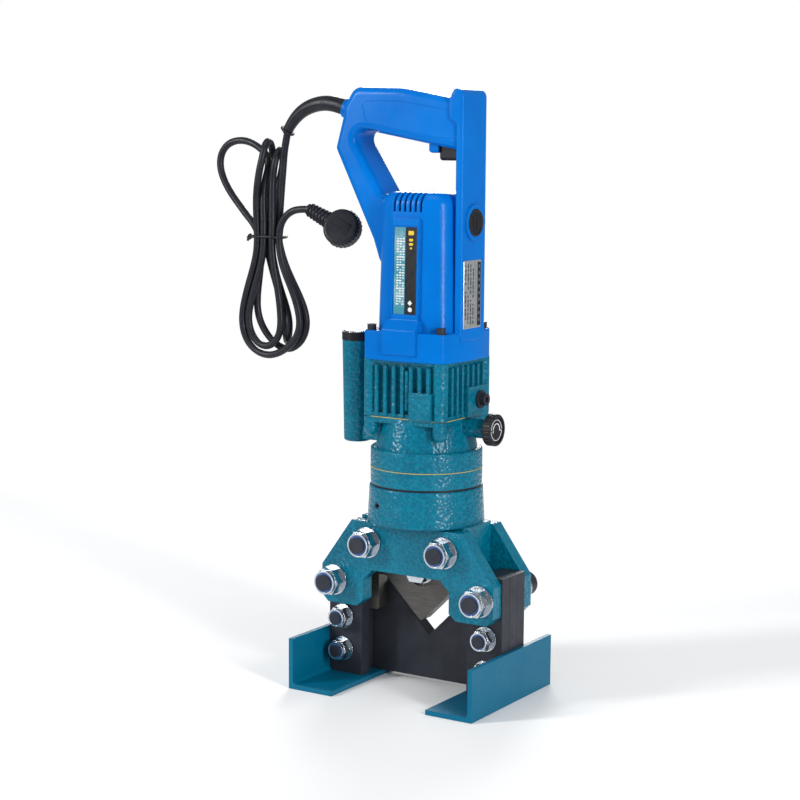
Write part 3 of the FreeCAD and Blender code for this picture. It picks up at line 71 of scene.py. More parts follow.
ROUTE = [
    # the lead, down from the sleeve
    (-0.1639, 0.0083, 0.5387), (-0.1686, 0.0088, 0.5210), (-0.1710, 0.0098, 0.5020),
    (-0.1740, 0.0109, 0.4800), (-0.1763, 0.0117, 0.4590), (-0.1788, 0.0119, 0.4345),
    # round the right side, behind, and up the inner left
    (-0.1768, 0.0120, 0.4234), (-0.1733, 0.0120, 0.4124), (-0.1685, 0.0120, 0.4014),
    (-0.1611, 0.0119, 0.3884), (-0.1533, 0.0119, 0.3754), (-0.1468, 0.0117, 0.3624),
    (-0.1436, 0.0115, 0.3500), (-0.1451, 0.0113, 0.3380), (-0.1516, 0.0115, 0.3275),
    (-0.1627, 0.0117, 0.3204), (-0.1753, 0.0119, 0.3207), (-0.1872, 0.0121, 0.3280),
    (-0.1961, 0.0122, 0.3369), (-0.2025, 0.0122, 0.3479), (-0.2055, 0.0122, 0.3599),
    (-0.2051, 0.0122, 0.3739), (-0.2031, 0.0122, 0.3884), (-0.2011, 0.0122, 0.4029),
    (-0.2005, 0.0122, 0.4179), (-0.2027, 0.0121, 0.4314),
    # the open loop at the left, over to the right
    (-0.2067, 0.0123, 0.4408), (-0.2128, 0.0127, 0.4478), (-0.2202, 0.0133, 0.4544),
    (-0.2275, 0.0139, 0.4619), (-0.2354, 0.0143, 0.4700), (-0.2430, 0.0146, 0.4790),
    (-0.2496, 0.0148, 0.4894), (-0.2540, 0.0150, 0.5014), (-0.2528, 0.0151, 0.5139),
    (-0.2456, 0.0153, 0.5234), (-0.2352, 0.0156, 0.5278), (-0.2238, 0.0159, 0.5283),
    (-0.2127, 0.0163, 0.5255), (-0.2014, 0.0153, 0.5196), (-0.1922, 0.0133, 0.5118),
    (-0.1898, 0.0108, 0.5016), (-0.1918, 0.0083, 0.4905), (-0.1933, 0.0068, 0.4772),
    (-0.1926, 0.0057, 0.4624), (-0.1914, 0.0049, 0.4476), (-0.1913, 0.0046, 0.4336),
    # the middle left, in front
    (-0.1920, 0.0045, 0.4206), (-0.1941, 0.0044, 0.4076), (-0.1979, 0.0044, 0.3951),
    (-0.2023, 0.0044, 0.3826), (-0.2067, 0.0044, 0.3696), (-0.2101, 0.0044, 0.3571),
    (-0.2107, 0.0044, 0.3451), (-0.2069, 0.0044, 0.3336), (-0.1989, 0.0044, 0.3249),
    (-0.1887, 0.0044, 0.3219), (-0.1793, 0.0044, 0.3258), (-0.1727, 0.0044, 0.3342),
    (-0.1704, 0.0044, 0.3451), (-0.1708, 0.0044, 0.3576), (-0.1725, 0.0044, 0.3716),
    (-0.1753, 0.0044, 0.3866), (-0.1785, 0.0044, 0.4016), (-0.1808, 0.0045, 0.4166),
    (-0.1813, 0.0046, 0.4316),
    # up behind the lead, folded back
    (-0.1808, 0.0048, 0.4466), (-0.1812, 0.0051, 0.4615), (-0.1814, 0.0055, 0.4765),
    (-0.1813, 0.0063, 0.4903), (-0.1790, 0.0057, 0.5039), (-0.1787, 0.0101, 0.5157),
    (-0.1818, 0.0210, 0.5203), (-0.1871, 0.0321, 0.5156), (-0.1908, 0.0367, 0.5039),
    (-0.1923, 0.0343, 0.4912), (-0.1918, 0.0273, 0.4748), (-0.1905, 0.0208, 0.4614),
    (-0.1888, 0.0149, 0.4474), (-0.1881, 0.0121, 0.4329),
    # down between the loops, folded back
    (-0.1869, 0.0120, 0.4189), (-0.1841, 0.0120, 0.4049), (-0.1801, 0.0120, 0.3909),
    (-0.1751, 0.0120, 0.3774), (-0.1696, 0.0117, 0.3644), (-0.1646, 0.0099, 0.3527),
    (-0.1623, 0.0079, 0.3431), (-0.1666, 0.0123, 0.3323), (-0.1746, 0.0215, 0.3261),
    (-0.1830, 0.0313, 0.3280), (-0.1867, 0.0353, 0.3375), (-0.1884, 0.0349, 0.3506),
    (-0.1902, 0.0323, 0.3650), (-0.1917, 0.0278, 0.3803), (-0.1927, 0.0221, 0.3957),
    (-0.1933, 0.0167, 0.4106), (-0.1944, 0.0131, 0.4242),
    # up behind, over the top bight, and down in front
    (-0.1955, 0.0123, 0.4373), (-0.1967, 0.0143, 0.4510), (-0.1981, 0.0179, 0.4654),
    (-0.1990, 0.0221, 0.4797), (-0.1991, 0.0259, 0.4936), (-0.1972, 0.0284, 0.5125),
    (-0.1957, 0.0244, 0.5240), (-0.1926, 0.0147, 0.5287), (-0.1899, 0.0050, 0.5240),
    (-0.1899, 0.0010, 0.5125), (-0.1928, 0.0001, 0.5005), (-0.1957, 0.0007, 0.4885),
    (-0.1980, 0.0017, 0.4765), (-0.1991, 0.0027, 0.4669), (-0.1995, 0.0035, 0.4568),
    (-0.1995, 0.0043, 0.4417), (-0.1992, 0.0045, 0.4281),
    # the outer left, the bottom and up the right side, in front
    (-0.2005, 0.0044, 0.4146), (-0.2047, 0.0044, 0.4001), (-0.2103, 0.0044, 0.3846),
    (-0.2149, 0.0044, 0.3701), (-0.2179, 0.0044, 0.3576), (-0.2187, 0.0044, 0.3456),
    (-0.2163, 0.0044, 0.3336), (-0.2097, 0.0043, 0.3232), (-0.1993, 0.0041, 0.3160),
    (-0.1863, 0.0037, 0.3132), (-0.1732, 0.0033, 0.3160), (-0.1617, 0.0031, 0.3225),
    (-0.1528, 0.0033, 0.3304), (-0.1477, 0.0037, 0.3403), (-0.1467, 0.0040, 0.3502),
    (-0.1491, 0.0043, 0.3617), (-0.1529, 0.0044, 0.3726), (-0.1579, 0.0044, 0.3836),
    (-0.1636, 0.0045, 0.3946), (-0.1686, 0.0045, 0.4061), (-0.1719, 0.0046, 0.4196),
    # the tail, over to the plug
    (-0.1727, 0.0047, 0.4345), (-0.1702, 0.0046, 0.4470), (-0.1615, 0.0048, 0.4572),
    (-0.1490, 0.0053, 0.4618), (-0.1352, 0.0059, 0.4614),
]


def new_object(name, data, body="tool"):
    piece = bpy.data.objects.new(name, data)
    bpy.context.scene.collection.objects.link(piece)
    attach(piece, body)
    return piece


def spline_curve(name, points, radius):
    """A curve with one open NURBS spline. Its points carry the tube's radius, so its bounds are true."""
    data = bpy.data.curves.new(name, "CURVE")
    data.dimensions = "3D"
    data.bevel_depth = 1
    data.bevel_resolution = 5
    data.use_fill_caps = True
    spline = data.splines.new("NURBS")
    spline.points.add(len(points) - 1)
    for point, place in zip(spline.points, points):
        point.co = (*place, 1)
        point.radius = radius
    spline.use_endpoint_u = True
    spline.order_u = 3
    spline.resolution_u = 10
    return data


lead = new_object("mains_lead", spline_curve("mains_lead", ROUTE, CORD_RADIUS))
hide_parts("cord_lead", "cord_hank", "cord_tail")

# ---- mesh helpers


def mesh_object(name, build, body="tool"):
    """A piece whose mesh is made by build(bm)."""
    mesh = bpy.data.meshes.new(name)
    bm = bmesh.new()
    build(bm)
    bmesh.ops.recalc_face_normals(bm, faces=bm.faces)
    bm.to_mesh(mesh)
    bm.free()
    mesh.shade_smooth()
    mesh.set_sharp_from_angle(angle=math.radians(SHARP_ANGLE))
    return new_object(name, mesh, body)


def frame_of(axis, hint=(0, 0, 1)):
    """The axis as a unit vector, and two unit vectors across it."""
    axis = Vector(axis).normalized()
    side = axis.cross(Vector(hint)).normalized()
    return axis, side, axis.cross(side)


def skin(bm, low, high):
    """A band of faces between two rings of vertices."""
    for index, vertex in enumerate(low):
        after = (index + 1) % len(low)
        bm.faces.new((vertex, low[after], high[after], high[index]))


def cap_ends(bm, rings):
    bm.faces.new(reversed(rings[0]))
    bm.faces.new(rings[-1])


def lathe(bm, centre, axis, profile, steps=48, hint=(0, 0, 1)):
    """A closed turned form: profile lists (distance along the axis, radius)."""
    axis, side, over = frame_of(axis, hint)
    centre = Vector(centre)
    rings = []
    for along, radius in profile:
        ring = []
        for step in range(steps):
            angle = 2 * math.pi * step / steps
            spoke = side * math.cos(angle) + over * math.sin(angle)
            ring.append(bm.verts.new(centre + axis * along + spoke * radius))
        rings.append(ring)
    for low, high in zip(rings, rings[1:]):
        skin(bm, low, high)
    cap_ends(bm, rings)


def slab(bm, centre, across, up, normal, half_width, half_height, thick, corner):
    """A thin panel with rounded corners and a chamfered rim; its back lies at centre."""
    across, up, normal = (Vector(v).normalized() for v in (across, up, normal))
    centre = Vector(centre)
    chamfer = min(thick * 0.4, corner * 0.4)
    loops = []
    for inset, height in ((0, 0), (0, thick - chamfer), (chamfer, thick)):
        ring = []
        for quarter in range(4):
            sign_x = (1, -1, -1, 1)[quarter]
            sign_z = (1, 1, -1, -1)[quarter]
            middle_x = sign_x * (half_width - corner)
            middle_z = sign_z * (half_height - corner)
            for step in range(6):
                angle = math.pi / 2 * (quarter + step / 5)
                reach = corner - inset
                x = middle_x + reach * math.cos(angle)
                z = middle_z + reach * math.sin(angle)
                ring.append(bm.verts.new(centre + across * x + up * z + normal * height))
        loops.append(ring)
    for low, high in zip(loops, loops[1:]):
        skin(bm, low, high)
    cap_ends(bm, loops)


def tube(bm, points, radius, steps=10, closed=True):
    """A round wire through points."""
    points = [Vector(p) for p in points]
    count = len(points)
    rings = []
    for index, here in enumerate(points):
        ahead = points[(index + 1) % count] if closed else points[min(index + 1, count - 1)]
        behind = points[index - 1] if closed else points[max(index - 1, 0)]
        axis, side, over = frame_of(ahead - behind)
        rings.append([bm.verts.new(here + (side * math.cos(a) + over * math.sin(a)) * radius)
                      for a in (2 * math.pi * k / steps for k in range(steps))])
    pairs = list(zip(rings, rings[1:])) + ([(rings[-1], rings[0])] if closed else [])
    for low, high in pairs:
        skin(bm, low, high)
    if not closed:
        cap_ends(bm, rings)


def at_axis(x, y, z):
    """A point given in millimetres about the tool's axis."""
    return Vector((x / 1000, y / 1000 + AXIS_Y, z / 1000))


# ---- materials


class Paint:
    """A procedural material: tone, sheen and relief vary over the surface, and edges can be worn."""

    def __init__(self, name, colour, rough, metal=0.0, coat=0.0, specular=0.5):
        self.material = bpy.data.materials.new(name)
        self.material.use_nodes = True
        self.material.diffuse_color = (*colour, 1)
        self.tree = self.material.node_tree
        self.shader = self.tree.nodes["Principled BSDF"]
        self.shader.inputs["Metallic"].default_value = metal
        self.shader.inputs["Coat Weight"].default_value = coat
        self.shader.inputs["Coat Roughness"].default_value = 0.08
        self.shader.inputs["Specular IOR Level"].default_value = specular
        self.place = self.add("ShaderNodeTexCoord").outputs["Object"]
        self.colour = self.rgb(colour)
        self.rough = rough
        self.rough_node = None
        self.normal = None

    def add(self, kind, **settings):
        node = self.tree.nodes.new(kind)
        for key, setting in settings.items():
            setattr(node, key, setting)
        return node

    def link(self, source, target):
        self.tree.links.new(source, target)

    def rgb(self, colour):
        node = self.add("ShaderNodeRGB")
        node.outputs[0].default_value = (*colour, 1)
        return node.outputs[0]

    def noise(self, scale, detail=3.0, rough=0.55, place=None):
        node = self.add("ShaderNodeTexNoise")
        node.inputs["Scale"].default_value = scale
        node.inputs["Detail"].default_value = detail
        node.inputs["Roughness"].default_value = rough
        self.link(place or self.place, node.inputs["Vector"])
        return node.outputs["Fac"]

    def cells(self, scale, smooth=0.6):
        node = self.add("ShaderNodeTexVoronoi", feature="SMOOTH_F1")
        node.inputs["Scale"].default_value = scale
        node.inputs["Smoothness"].default_value = smooth
        self.link(self.place, node.inputs["Vector"])
        return node.outputs["Distance"]

    def spread(self, source, low, high, to_low=0.0, to_high=1.0):
        node = self.add("ShaderNodeMapRange", clamp=True)
        for key, number in (("From Min", low), ("From Max", high), ("To Min", to_low), ("To Max", to_high)):
            node.inputs[key].default_value = number
        self.link(source, node.inputs["Value"])
        return node.outputs["Result"]

    def math(self, operation, first, second):
        node = self.add("ShaderNodeMath", operation=operation)
        for socket, term in zip(node.inputs, (first, second)):
            if isinstance(term, (int, float)):
                socket.default_value = term
            else:
                self.link(term, socket)
        return node.outputs[0]

    def stretched(self, scale):
        node = self.add("ShaderNodeMapping")
        node.inputs["Scale"].default_value = scale
        self.link(self.place, node.inputs["Vector"])
        return node.outputs["Vector"]

    def mix(self, mask, other):
        """Lay another colour over the present one where mask is 1."""
        node = self.add("ShaderNodeMix", data_type="RGBA")
        self.link(mask, node.inputs["Factor"])
        self.link(self.colour, node.inputs["A"])
        self.link(self.rgb(other) if isinstance(other, tuple) else other, node.inputs["B"])
        self.colour = node.outputs["Result"]
        return self

    def vary(self, darker, scale, low=0.35, high=0.75):
        """Let a second tone through in soft patches."""
        return self.mix(self.spread(self.noise(scale), low, high), darker)

    def sheen(self, scale, amount):
        """Roughness that wanders by amount."""
        lowest, highest = self.rough - amount, self.rough + amount
        self.rough_node = self.spread(self.noise(scale, 4.0), 0.3, 0.7, lowest, highest)
        return self

    def relief(self, height, strength, distance):
        """Add bumps from a height."""
        node = self.add("ShaderNodeBump")
        node.inputs["Strength"].default_value = strength
        node.inputs["Distance"].default_value = distance
        self.link(height, node.inputs["Height"])
        if self.normal is not None:
            self.link(self.normal, node.inputs["Normal"])
        self.normal = node.outputs["Normal"]
        return self

    def round_edges(self, radius, wear=None, amount=0.5):
        """Soften sharp edges in the light, and rub the paint thin along them."""
        bevel = self.add("ShaderNodeBevel", samples=4)
        bevel.inputs["Radius"].default_value = radius
        self.normal = bevel.outputs["Normal"]
        if wear:
            plain = self.add("ShaderNodeNewGeometry").outputs["Normal"]
            dot = self.add("ShaderNodeVectorMath", operation="DOT_PRODUCT")
            self.link(bevel.outputs["Normal"], dot.inputs[0])
            self.link(plain, dot.inputs[1])
            edge = self.spread(dot.outputs["Value"], 0.97, 0.75)
            chips = self.spread(self.noise(240, 5.0, 0.7), 0.42, 0.6)
            self.mix(self.math("MULTIPLY", self.math("MULTIPLY", edge, chips), amount), wear)
        return self

    def done(self):
        self.link(self.colour, self.shader.inputs["Base Color"])
        if self.rough_node is None:
            self.shader.inputs["Roughness"].default_value = self.rough
        else:
            self.link(self.rough_node, self.shader.inputs["Roughness"])
        if self.normal is not None:
            self.link(self.normal, self.shader.inputs["Normal"])
        return self.material


def teal_casting():
    """Hammered enamel on castings: a skin of soft pebbles over a deep teal."""
    paint = Paint("hammered_teal", (0.0, 0.13, 0.212), 0.2, specular=0.26)
    paint.round_edges(0.0011, (0.01, 0.32, 0.45), 0.5)
    paint.vary((0.0, 0.085, 0.145), 22)
    pebbles = paint.cells(330)
    paint.mix(paint.spread(pebbles, 0.25, 0.75, 0.0, 0.35), (0.0, 0.25, 0.37))
    paint.relief(paint.math("ADD", pebbles, paint.math("MULTIPLY", paint.noise(210, 2.0), 0.9)), 0.6, 0.0009)
    return paint.sheen(60, 0.07).done()


def teal_satin():
    """Satin enamel on plate steel, rubbed thin at the cut edges."""
    paint = Paint("satin_teal", (0.0, 0.125, 0.22), 0.34, specular=0.16)
    paint.round_edges(0.0007, (0.02, 0.34, 0.46), 0.6)
    paint.vary((0.0, 0.115, 0.215), 18)
    paint.relief(paint.noise(420, 4.0), 0.12, 0.0004)
    return paint.sheen(35, 0.08).done()


def blackened_steel():
    """Black-oxide steel: fine grinding lines under the oil, a little bare metal on the corners."""
    paint = Paint("black_oxide", (0.02, 0.0225, 0.03), 0.4, specular=0.2)
    paint.round_edges(0.0006, (0.12, 0.125, 0.14), 0.5)
    paint.vary((0.032, 0.036, 0.048), 40)
    paint.relief(paint.noise(60, 6.0, 0.6, paint.stretched((1, 6, 26))), 0.1, 0.0003)
    return paint.sheen(90, 0.08).done()


def ground_steel():
    """The blade: surface-ground tool steel with lines along its length and a warm tint."""
    paint = Paint("ground_blade", (0.1, 0.094, 0.09), 0.36, metal=0.7, specular=0.3)
    paint.round_edges(0.0005, (0.42, 0.42, 0.42), 0.6)
    paint.vary((0.06, 0.056, 0.054), 26)
    lines = paint.noise(45, 8.0, 0.65, paint.stretched((1, 4, 40)))
    paint.mix(paint.spread(lines, 0.42, 0.6, 0.0, 0.4), (0.17, 0.163, 0.156))
    paint.relief(lines, 0.2, 0.0003)
    return paint.sheen(120, 0.07).done()


def bright_steel():
    """Zinc-plated nuts and washers: bright with a faint crystalline mottle."""
    paint = Paint("zinc_plate", (0.62, 0.66, 0.7), 0.2, metal=1.0)
    paint.round_edges(0.0006, (0.85, 0.87, 0.88), 0.6)
    paint.mix(paint.spread(paint.cells(900, 0.3), 0.2, 0.8, 0.0, 0.5), (0.5, 0.54, 0.6))
    paint.vary((0.46, 0.5, 0.55), 55)
    paint.relief(paint.noise(700, 5.0), 0.12, 0.0003)
    return paint.sheen(150, 0.08).done()


def blue_nylon():
    paint = Paint("nylon_insert", (0.03, 0.09, 0.32), 0.42)
    paint.vary((0.06, 0.16, 0.45), 300)
    paint.relief(paint.noise(900, 3.0), 0.15, 0.0002)
    return paint.sheen(300, 0.06).done()


def blue_plastic():
    """Glossy moulded housing: a fine spark texture under the gloss, paler on the corners."""
    paint = Paint("glossy_blue", (0.0, 0.158, 0.58), 0.2, coat=0.03, specular=0.08)
    paint.round_edges(0.0014, (0.02, 0.3, 0.85), 0.4)
    paint.vary((0.0, 0.128, 0.49), 14)
    paint.relief(paint.noise(1100, 2.0), 0.05, 0.0002)
    paint.relief(paint.noise(30, 2.0), 0.05, 0.002)
    return paint.sheen(40, 0.05).done()


def black_plastic():
    paint = Paint("moulded_black", (0.012, 0.0125, 0.016), 0.38, specular=0.2)
    paint.round_edges(0.0005, (0.07, 0.07, 0.08), 0.5)
    paint.vary((0.022, 0.022, 0.026), 60)
    paint.relief(paint.cells(1400, 0.5), 0.18, 0.0003)
    return paint.sheen(140, 0.07).done()


def black_rubber():
    """Rubber sheath: a matt, slightly blue black with fine drawn lines and scuffs."""
    paint = Paint("rubber_sheath", (0.011, 0.012, 0.017), 0.38, specular=0.22)
    paint.vary((0.019, 0.02, 0.025), 70)
    paint.mix(paint.spread(paint.noise(420, 6.0, 0.7), 0.62, 0.72, 0.0, 0.3), (0.06, 0.06, 0.07))
    paint.relief(paint.noise(900, 3.0), 0.16, 0.0003)
    return paint.sheen(200, 0.08).done()


def gasket():
    paint = Paint("gasket_board", (0.42, 0.36, 0.14), 0.75)
    paint.vary((0.3, 0.25, 0.1), 200)
    paint.relief(paint.noise(1500, 4.0), 0.4, 0.0003)
    return paint.sheen(300, 0.08).done()


def turned_metal(name, colour, rough, darker, axis_scale):
    """Turned or drawn metal with fine tool marks."""
    paint = Paint(name, colour, rough, metal=1.0)
    paint.round_edges(0.0005, tuple(min(1.0, c * 1.4) for c in colour), 0.5)
    marks = paint.noise(70, 6.0, 0.6, paint.stretched(axis_scale))
    paint.mix(paint.spread(marks, 0.4, 0.65, 0.0, 0.6), darker)
    paint.relief(marks, 0.15, 0.0003)
    return paint.sheen(160, 0.07).done()


def motor_iron():
    """Varnished laminations: thin dark lines stacked along the shaft."""
    paint = Paint("laminations", (0.16, 0.11, 0.08), 0.4, metal=0.6)
    layers = paint.noise(30, 2.0, 0.5, paint.stretched((1, 1, 60)))
    paint.mix(paint.spread(layers, 0.4, 0.6), (0.07, 0.05, 0.04))
    paint.relief(layers, 0.4, 0.0004)
    return paint.sheen(90, 0.08).done()


def plain_black(name, colour, grain):
    paint = Paint(name, colour, 0.5)
    paint.vary(tuple(c * 1.7 for c in colour), 90)
    paint.relief(paint.noise(grain, 4.0), 0.25, 0.0003)
    return paint.sheen(200, 0.1).done()


LOOKS = {
    "teal_casting": teal_casting(),
    "teal_satin": teal_satin(),
    "blackened_steel": blackened_steel(),
    "ground_steel": ground_steel(),
    "bright_steel": bright_steel(),
    "blue_nylon": blue_nylon(),
    "blue_plastic": blue_plastic(),
    "black_plastic": black_plastic(),
    "black_rubber": black_rubber(),
    "gasket": gasket(),
    "bright_cap": turned_metal("turned_cap", (0.72, 0.73, 0.75), 0.28, (0.5, 0.51, 0.53), (4, 4, 30)),
    "spring_steel": turned_metal("spring_wire", (0.3, 0.31, 0.33), 0.35, (0.2, 0.2, 0.22), (8, 8, 8)),
    "motor_iron": motor_iron(),
    "copper": turned_metal("turned_copper", (0.75, 0.36, 0.2), 0.3, (0.5, 0.22, 0.12), (4, 4, 40)),
    "fan_plastic": plain_black("fan_nylon", (0.05, 0.05, 0.055), 900),
    "carbon": plain_black("brush_carbon", (0.03, 0.03, 0.03), 1600),
    "cast_aluminium": turned_metal("cast_alloy", (0.55, 0.56, 0.58), 0.42, (0.4, 0.41, 0.42), (6, 6, 6)),
}
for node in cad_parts.values():
    for index, old in enumerate(node.data.materials):
        node.data.materials[index] = LOOKS[old.name.split(".")[0]]


def small_finish(name, colour, rough, metal=0.0):
    paint = Paint(name, colour, rough, metal=metal, specular=0.2)
    paint.vary(tuple(min(1.0, c * 0.8 + 0.004) for c in colour), 120)
    paint.relief(paint.noise(1200, 3.0), 0.08, 0.0002)
    return paint.sheen(160, 0.06).done()


WHITE = small_finish("print_white", (0.75, 0.76, 0.76), 0.5)
YELLOW = small_finish("print_yellow", (0.75, 0.5, 0.03), 0.45)
LABEL_BLACK = small_finish("label_black", (0.012, 0.014, 0.018), 0.3)
PLATE_SILVER = small_finish("plate_silver", (0.62, 0.64, 0.66), 0.32, 0.8)
GREY = small_finish("print_grey", (0.12, 0.13, 0.14), 0.5)


def label_teal():
    """The label's left field: teal with fine pale dots."""
    paint = Paint("label_dots", (0.01, 0.2, 0.27), 0.35)
    dots = paint.add("ShaderNodeTexVoronoi", feature="F1")
    dots.inputs["Scale"].default_value = 950
    dots.inputs["Randomness"].default_value = 0.25
    paint.link(paint.place, dots.inputs["Vector"])
    paint.mix(paint.spread(dots.outputs["Distance"], 0.34, 0.22), (0.6, 0.72, 0.72))
    return paint.sheen(200, 0.05).done()


LABEL_TEAL = label_teal()


def finish_piece(piece, material):
    piece.data.materials.clear()
    piece.data.materials.append(material)
    return piece


finish_piece(lead, LOOKS["black_rubber"])
finish_piece(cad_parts["oil_plug_washer"], LOOKS["blackened_steel"])

# ---- ties on the lead


TIE_CENTRE = Vector((-0.1877, AXIS_Y + 0.0001, 0.4325))
TIE_HALF_WIDTH, TIE_HALF_DEPTH = 0.0192, 0.0079


def flattened(wave, power):
    """A sine or cosine pushed outward, which squares a circle's corners."""
    return math.copysign(abs(wave) ** power, wave)


def hank_tie(bm):
    """A thin wire tie that follows the strands it holds."""
    points = []
    count = 72
    for step in range(count):
        angle = 2 * math.pi * step / count
        swell = 0.0005 * math.cos(8 * angle)
        x = TIE_CENTRE.x + (TIE_HALF_WIDTH + swell) * flattened(math.cos(angle), 0.42)
        y = TIE_CENTRE.y + (TIE_HALF_DEPTH + swell) * flattened(math.sin(angle), 0.5)
        points.append((x, y, TIE_CENTRE.z + 0.0006 * math.sin(3 * angle)))
    tube(bm, points, 0.0011)


tie = finish_piece(mesh_object("hank_tie", hank_tie), LOOKS["black_plastic"])


def tie_knot(bm):
    """The twisted end of the tie, at the left, and its cut tail."""
    knot = [(-0.2055, 0.0069, 0.4328), (-0.2078, 0.0052, 0.4318), (-0.2096, 0.0048, 0.4304),
            (-0.2112, 0.0050, 0.4312), (-0.2104, 0.0062, 0.4334), (-0.2086, 0.0066, 0.4340)]
    tube(bm, knot, 0.0017, closed=False)
    cut_end = [(-0.2098, 0.0046, 0.4318), (-0.2106, 0.0040, 0.4296), (-0.2111, 0.0038, 0.4280)]
    tube(bm, cut_end, 0.0012, closed=False)


knot = finish_piece(mesh_object("tie_knot", tie_knot), LOOKS["black_plastic"])


def sleeve_collar(bm):
    """The thin flange that ends the tapered sleeve."""
    profile = [(-0.0013, 0.0049), (-0.0012, 0.0070), (-0.0006, 0.0076), (0.0004, 0.0076), (0.0010, 0.0070),
               (0.0011, 0.0042), (0.0030, 0.0040)]
    lathe(bm, at_axis(-164.4, 0, 538), (-9, 0, -12.2), profile, hint=(0, 1, 0))


collar = finish_piece(mesh_object("sleeve_collar", sleeve_collar), LOOKS["black_rubber"])

# ---- plug

PLUG_AXIS = Vector((-0.23, 0.91, -0.34)).normalized()
PLUG_CENTRE = at_axis(-96.5, -2, 443.5)
PLUG_START = at_axis(-137.5, -2.6, 462)
PLUG_ALONG = (PLUG_CENTRE - PLUG_START).normalized()
# along the cord, square to the plug's axis
PLUG_FORWARD = PLUG_ALONG - PLUG_AXIS * PLUG_ALONG.dot(PLUG_AXIS)


def plug_ribs(bm):
    """Six soft ribs on the plug's bend relief."""
    for number in range(6):
        start = 0.0035 + number * 0.0042
        radius = 0.0056 + 0.002 * (start / 0.03)
        profile = [(-0.0012, radius - 0.0006), (-0.0008, radius + 0.0009), (0.0, radius + 0.0014),
                   (0.0008, radius + 0.0009), (0.0012, radius - 0.0006)]
        lathe(bm, PLUG_START + PLUG_ALONG * start, PLUG_ALONG, profile, 32)


ribs = finish_piece(mesh_object("plug_ribs", plug_ribs), LOOKS["black_rubber"])


def plug_face(bm):
    """The raised panel on the plug's back, and the ridges across it."""
    side = frame_of(PLUG_AXIS, PLUG_ALONG)[1]
    back = PLUG_CENTRE - PLUG_AXIS * 0.009
    slab(bm, back + PLUG_AXIS * 0.0004, PLUG_FORWARD, side, -PLUG_AXIS, 0.0095, 0.0062, 0.0016, 0.0016)
    for number in range(-2, 3):
        slab(bm, back + side * (number * 0.0022) - PLUG_AXIS * 0.0010,
             PLUG_FORWARD, side, -PLUG_AXIS, 0.0072, 0.0005, 0.0008, 0.0004)


panel = finish_piece(mesh_object("plug_panel", plug_face), LOOKS["black_rubber"])


def plug_grips(bm):
    """Finger ridges round the plug's rim, away from the bend relief."""
    forward = PLUG_FORWARD.normalized()
    sideways = PLUG_AXIS.cross(forward).normalized()
    for number in range(-7, 8):
        angle = math.radians(number * 13)
        spoke = forward * math.cos(angle) + sideways * math.sin(angle)
        across = PLUG_AXIS.cross(spoke)
        slab(bm, PLUG_CENTRE - PLUG_AXIS * 0.0015 + spoke * 0.0182, across, PLUG_AXIS, spoke,
             0.0009, 0.0042, 0.0009, 0.0006)


grips = finish_piece(mesh_object("plug_grips", plug_grips), LOOKS["black_rubber"])

# ---- labels and plates: plain fields, bars and dots, no lettering


def panel_frame(side):
    """Centre, across, up and outward directions of the label recess on one broad side of the can."""
    low, high = at_axis(0, side * 41.85, 367), at_axis(0, side * 39.9, 451)
    up = (high - low).normalized()
    across = Vector((-side, 0, 0))
    return (low + high) / 2, across, up, across.cross(up).normalized()


LABEL_HALF_HEIGHT = 0.0409
LABEL_HALF_COLUMN = 0.0060      # half the width of the teal field, and of the black band beside it
COLUMN_OFFSET = 0.0062
PRINT_LIFT = 0.0006             # printed marks stand this far off the label's back
AMBER_MARKS = [                 # height on the band, half width, half height
    (0.0355, 0.0030, 0.0020), (0.0290, 0.0022, 0.0012), (0.0250, 0.0022, 0.0012), (0.0212, 0.0012, 0.0009),
]


def front_label(side, tag):
    """The label in the recess on one broad side: a teal field with dashes, and a black band with marks."""
    centre, across, up, out = panel_frame(side)
    out = out if out.y * side > 0 else -out
    spot = centre - out * 0.0002
    print_face = spot + out * PRINT_LIFT

    def column(bm, offset):
        slab(bm, spot + across * offset, across, up, out, LABEL_HALF_COLUMN, LABEL_HALF_HEIGHT, 0.0007, 0.001)

    def dashes(bm):
        """Pale dashes in three columns on the teal field."""
        for row in range(26):
            for line in range(3):
                if (row + 2 * line) % 7 == 6:
                    continue
                length = 0.0008 + 0.0003 * ((row * 5 + line * 3) % 3)
                place = print_face + across * (-0.0082 + line * 0.0031) + up * (0.030 - row * 0.00245)
                slab(bm, place, across, up, out, length, 0.0006, 0.0002, 0.0002)

    def spots(bm):
        """Amber marks at the band's upper end."""
        for height, half_width, half_height in AMBER_MARKS:
            slab(bm, print_face + across * COLUMN_OFFSET + up * height, across, up, out,
                 half_width, half_height, 0.0002, 0.0008)

    def lozenge_and_disc(bm):
        """Two pale marks at the band's lower end."""
        slab(bm, print_face + across * 0.0060 - up * 0.0300, across + up, up - across, out,
             0.0018, 0.0018, 0.0002, 0.0003)
        slab(bm, print_face + across * COLUMN_OFFSET - up * 0.0362, across, up, out,
             0.0022, 0.0022, 0.0002, 0.0021)

    parts = [
        ("field", lambda bm: column(bm, -COLUMN_OFFSET), "blue_plastic", LABEL_TEAL),
        ("band", lambda bm: column(bm, COLUMN_OFFSET), "black_plastic", LABEL_BLACK),
        ("bars", dashes, "bright_cap", WHITE),
        ("spots", spots, "gasket", YELLOW),
        ("ticks", lozenge_and_disc, "bright_cap", WHITE),
    ]
    for part, build, slot, material in parts:
        finish_piece(mesh_object(f"label_{part}_{tag}", build), material)


front_label(-1, "front")
front_label(1, "rear")

RATING_X = 50.5
RATING_MIDDLE = 387
STRIP_Y = 9.2                   # the dark strip's middle, about the tool's axis


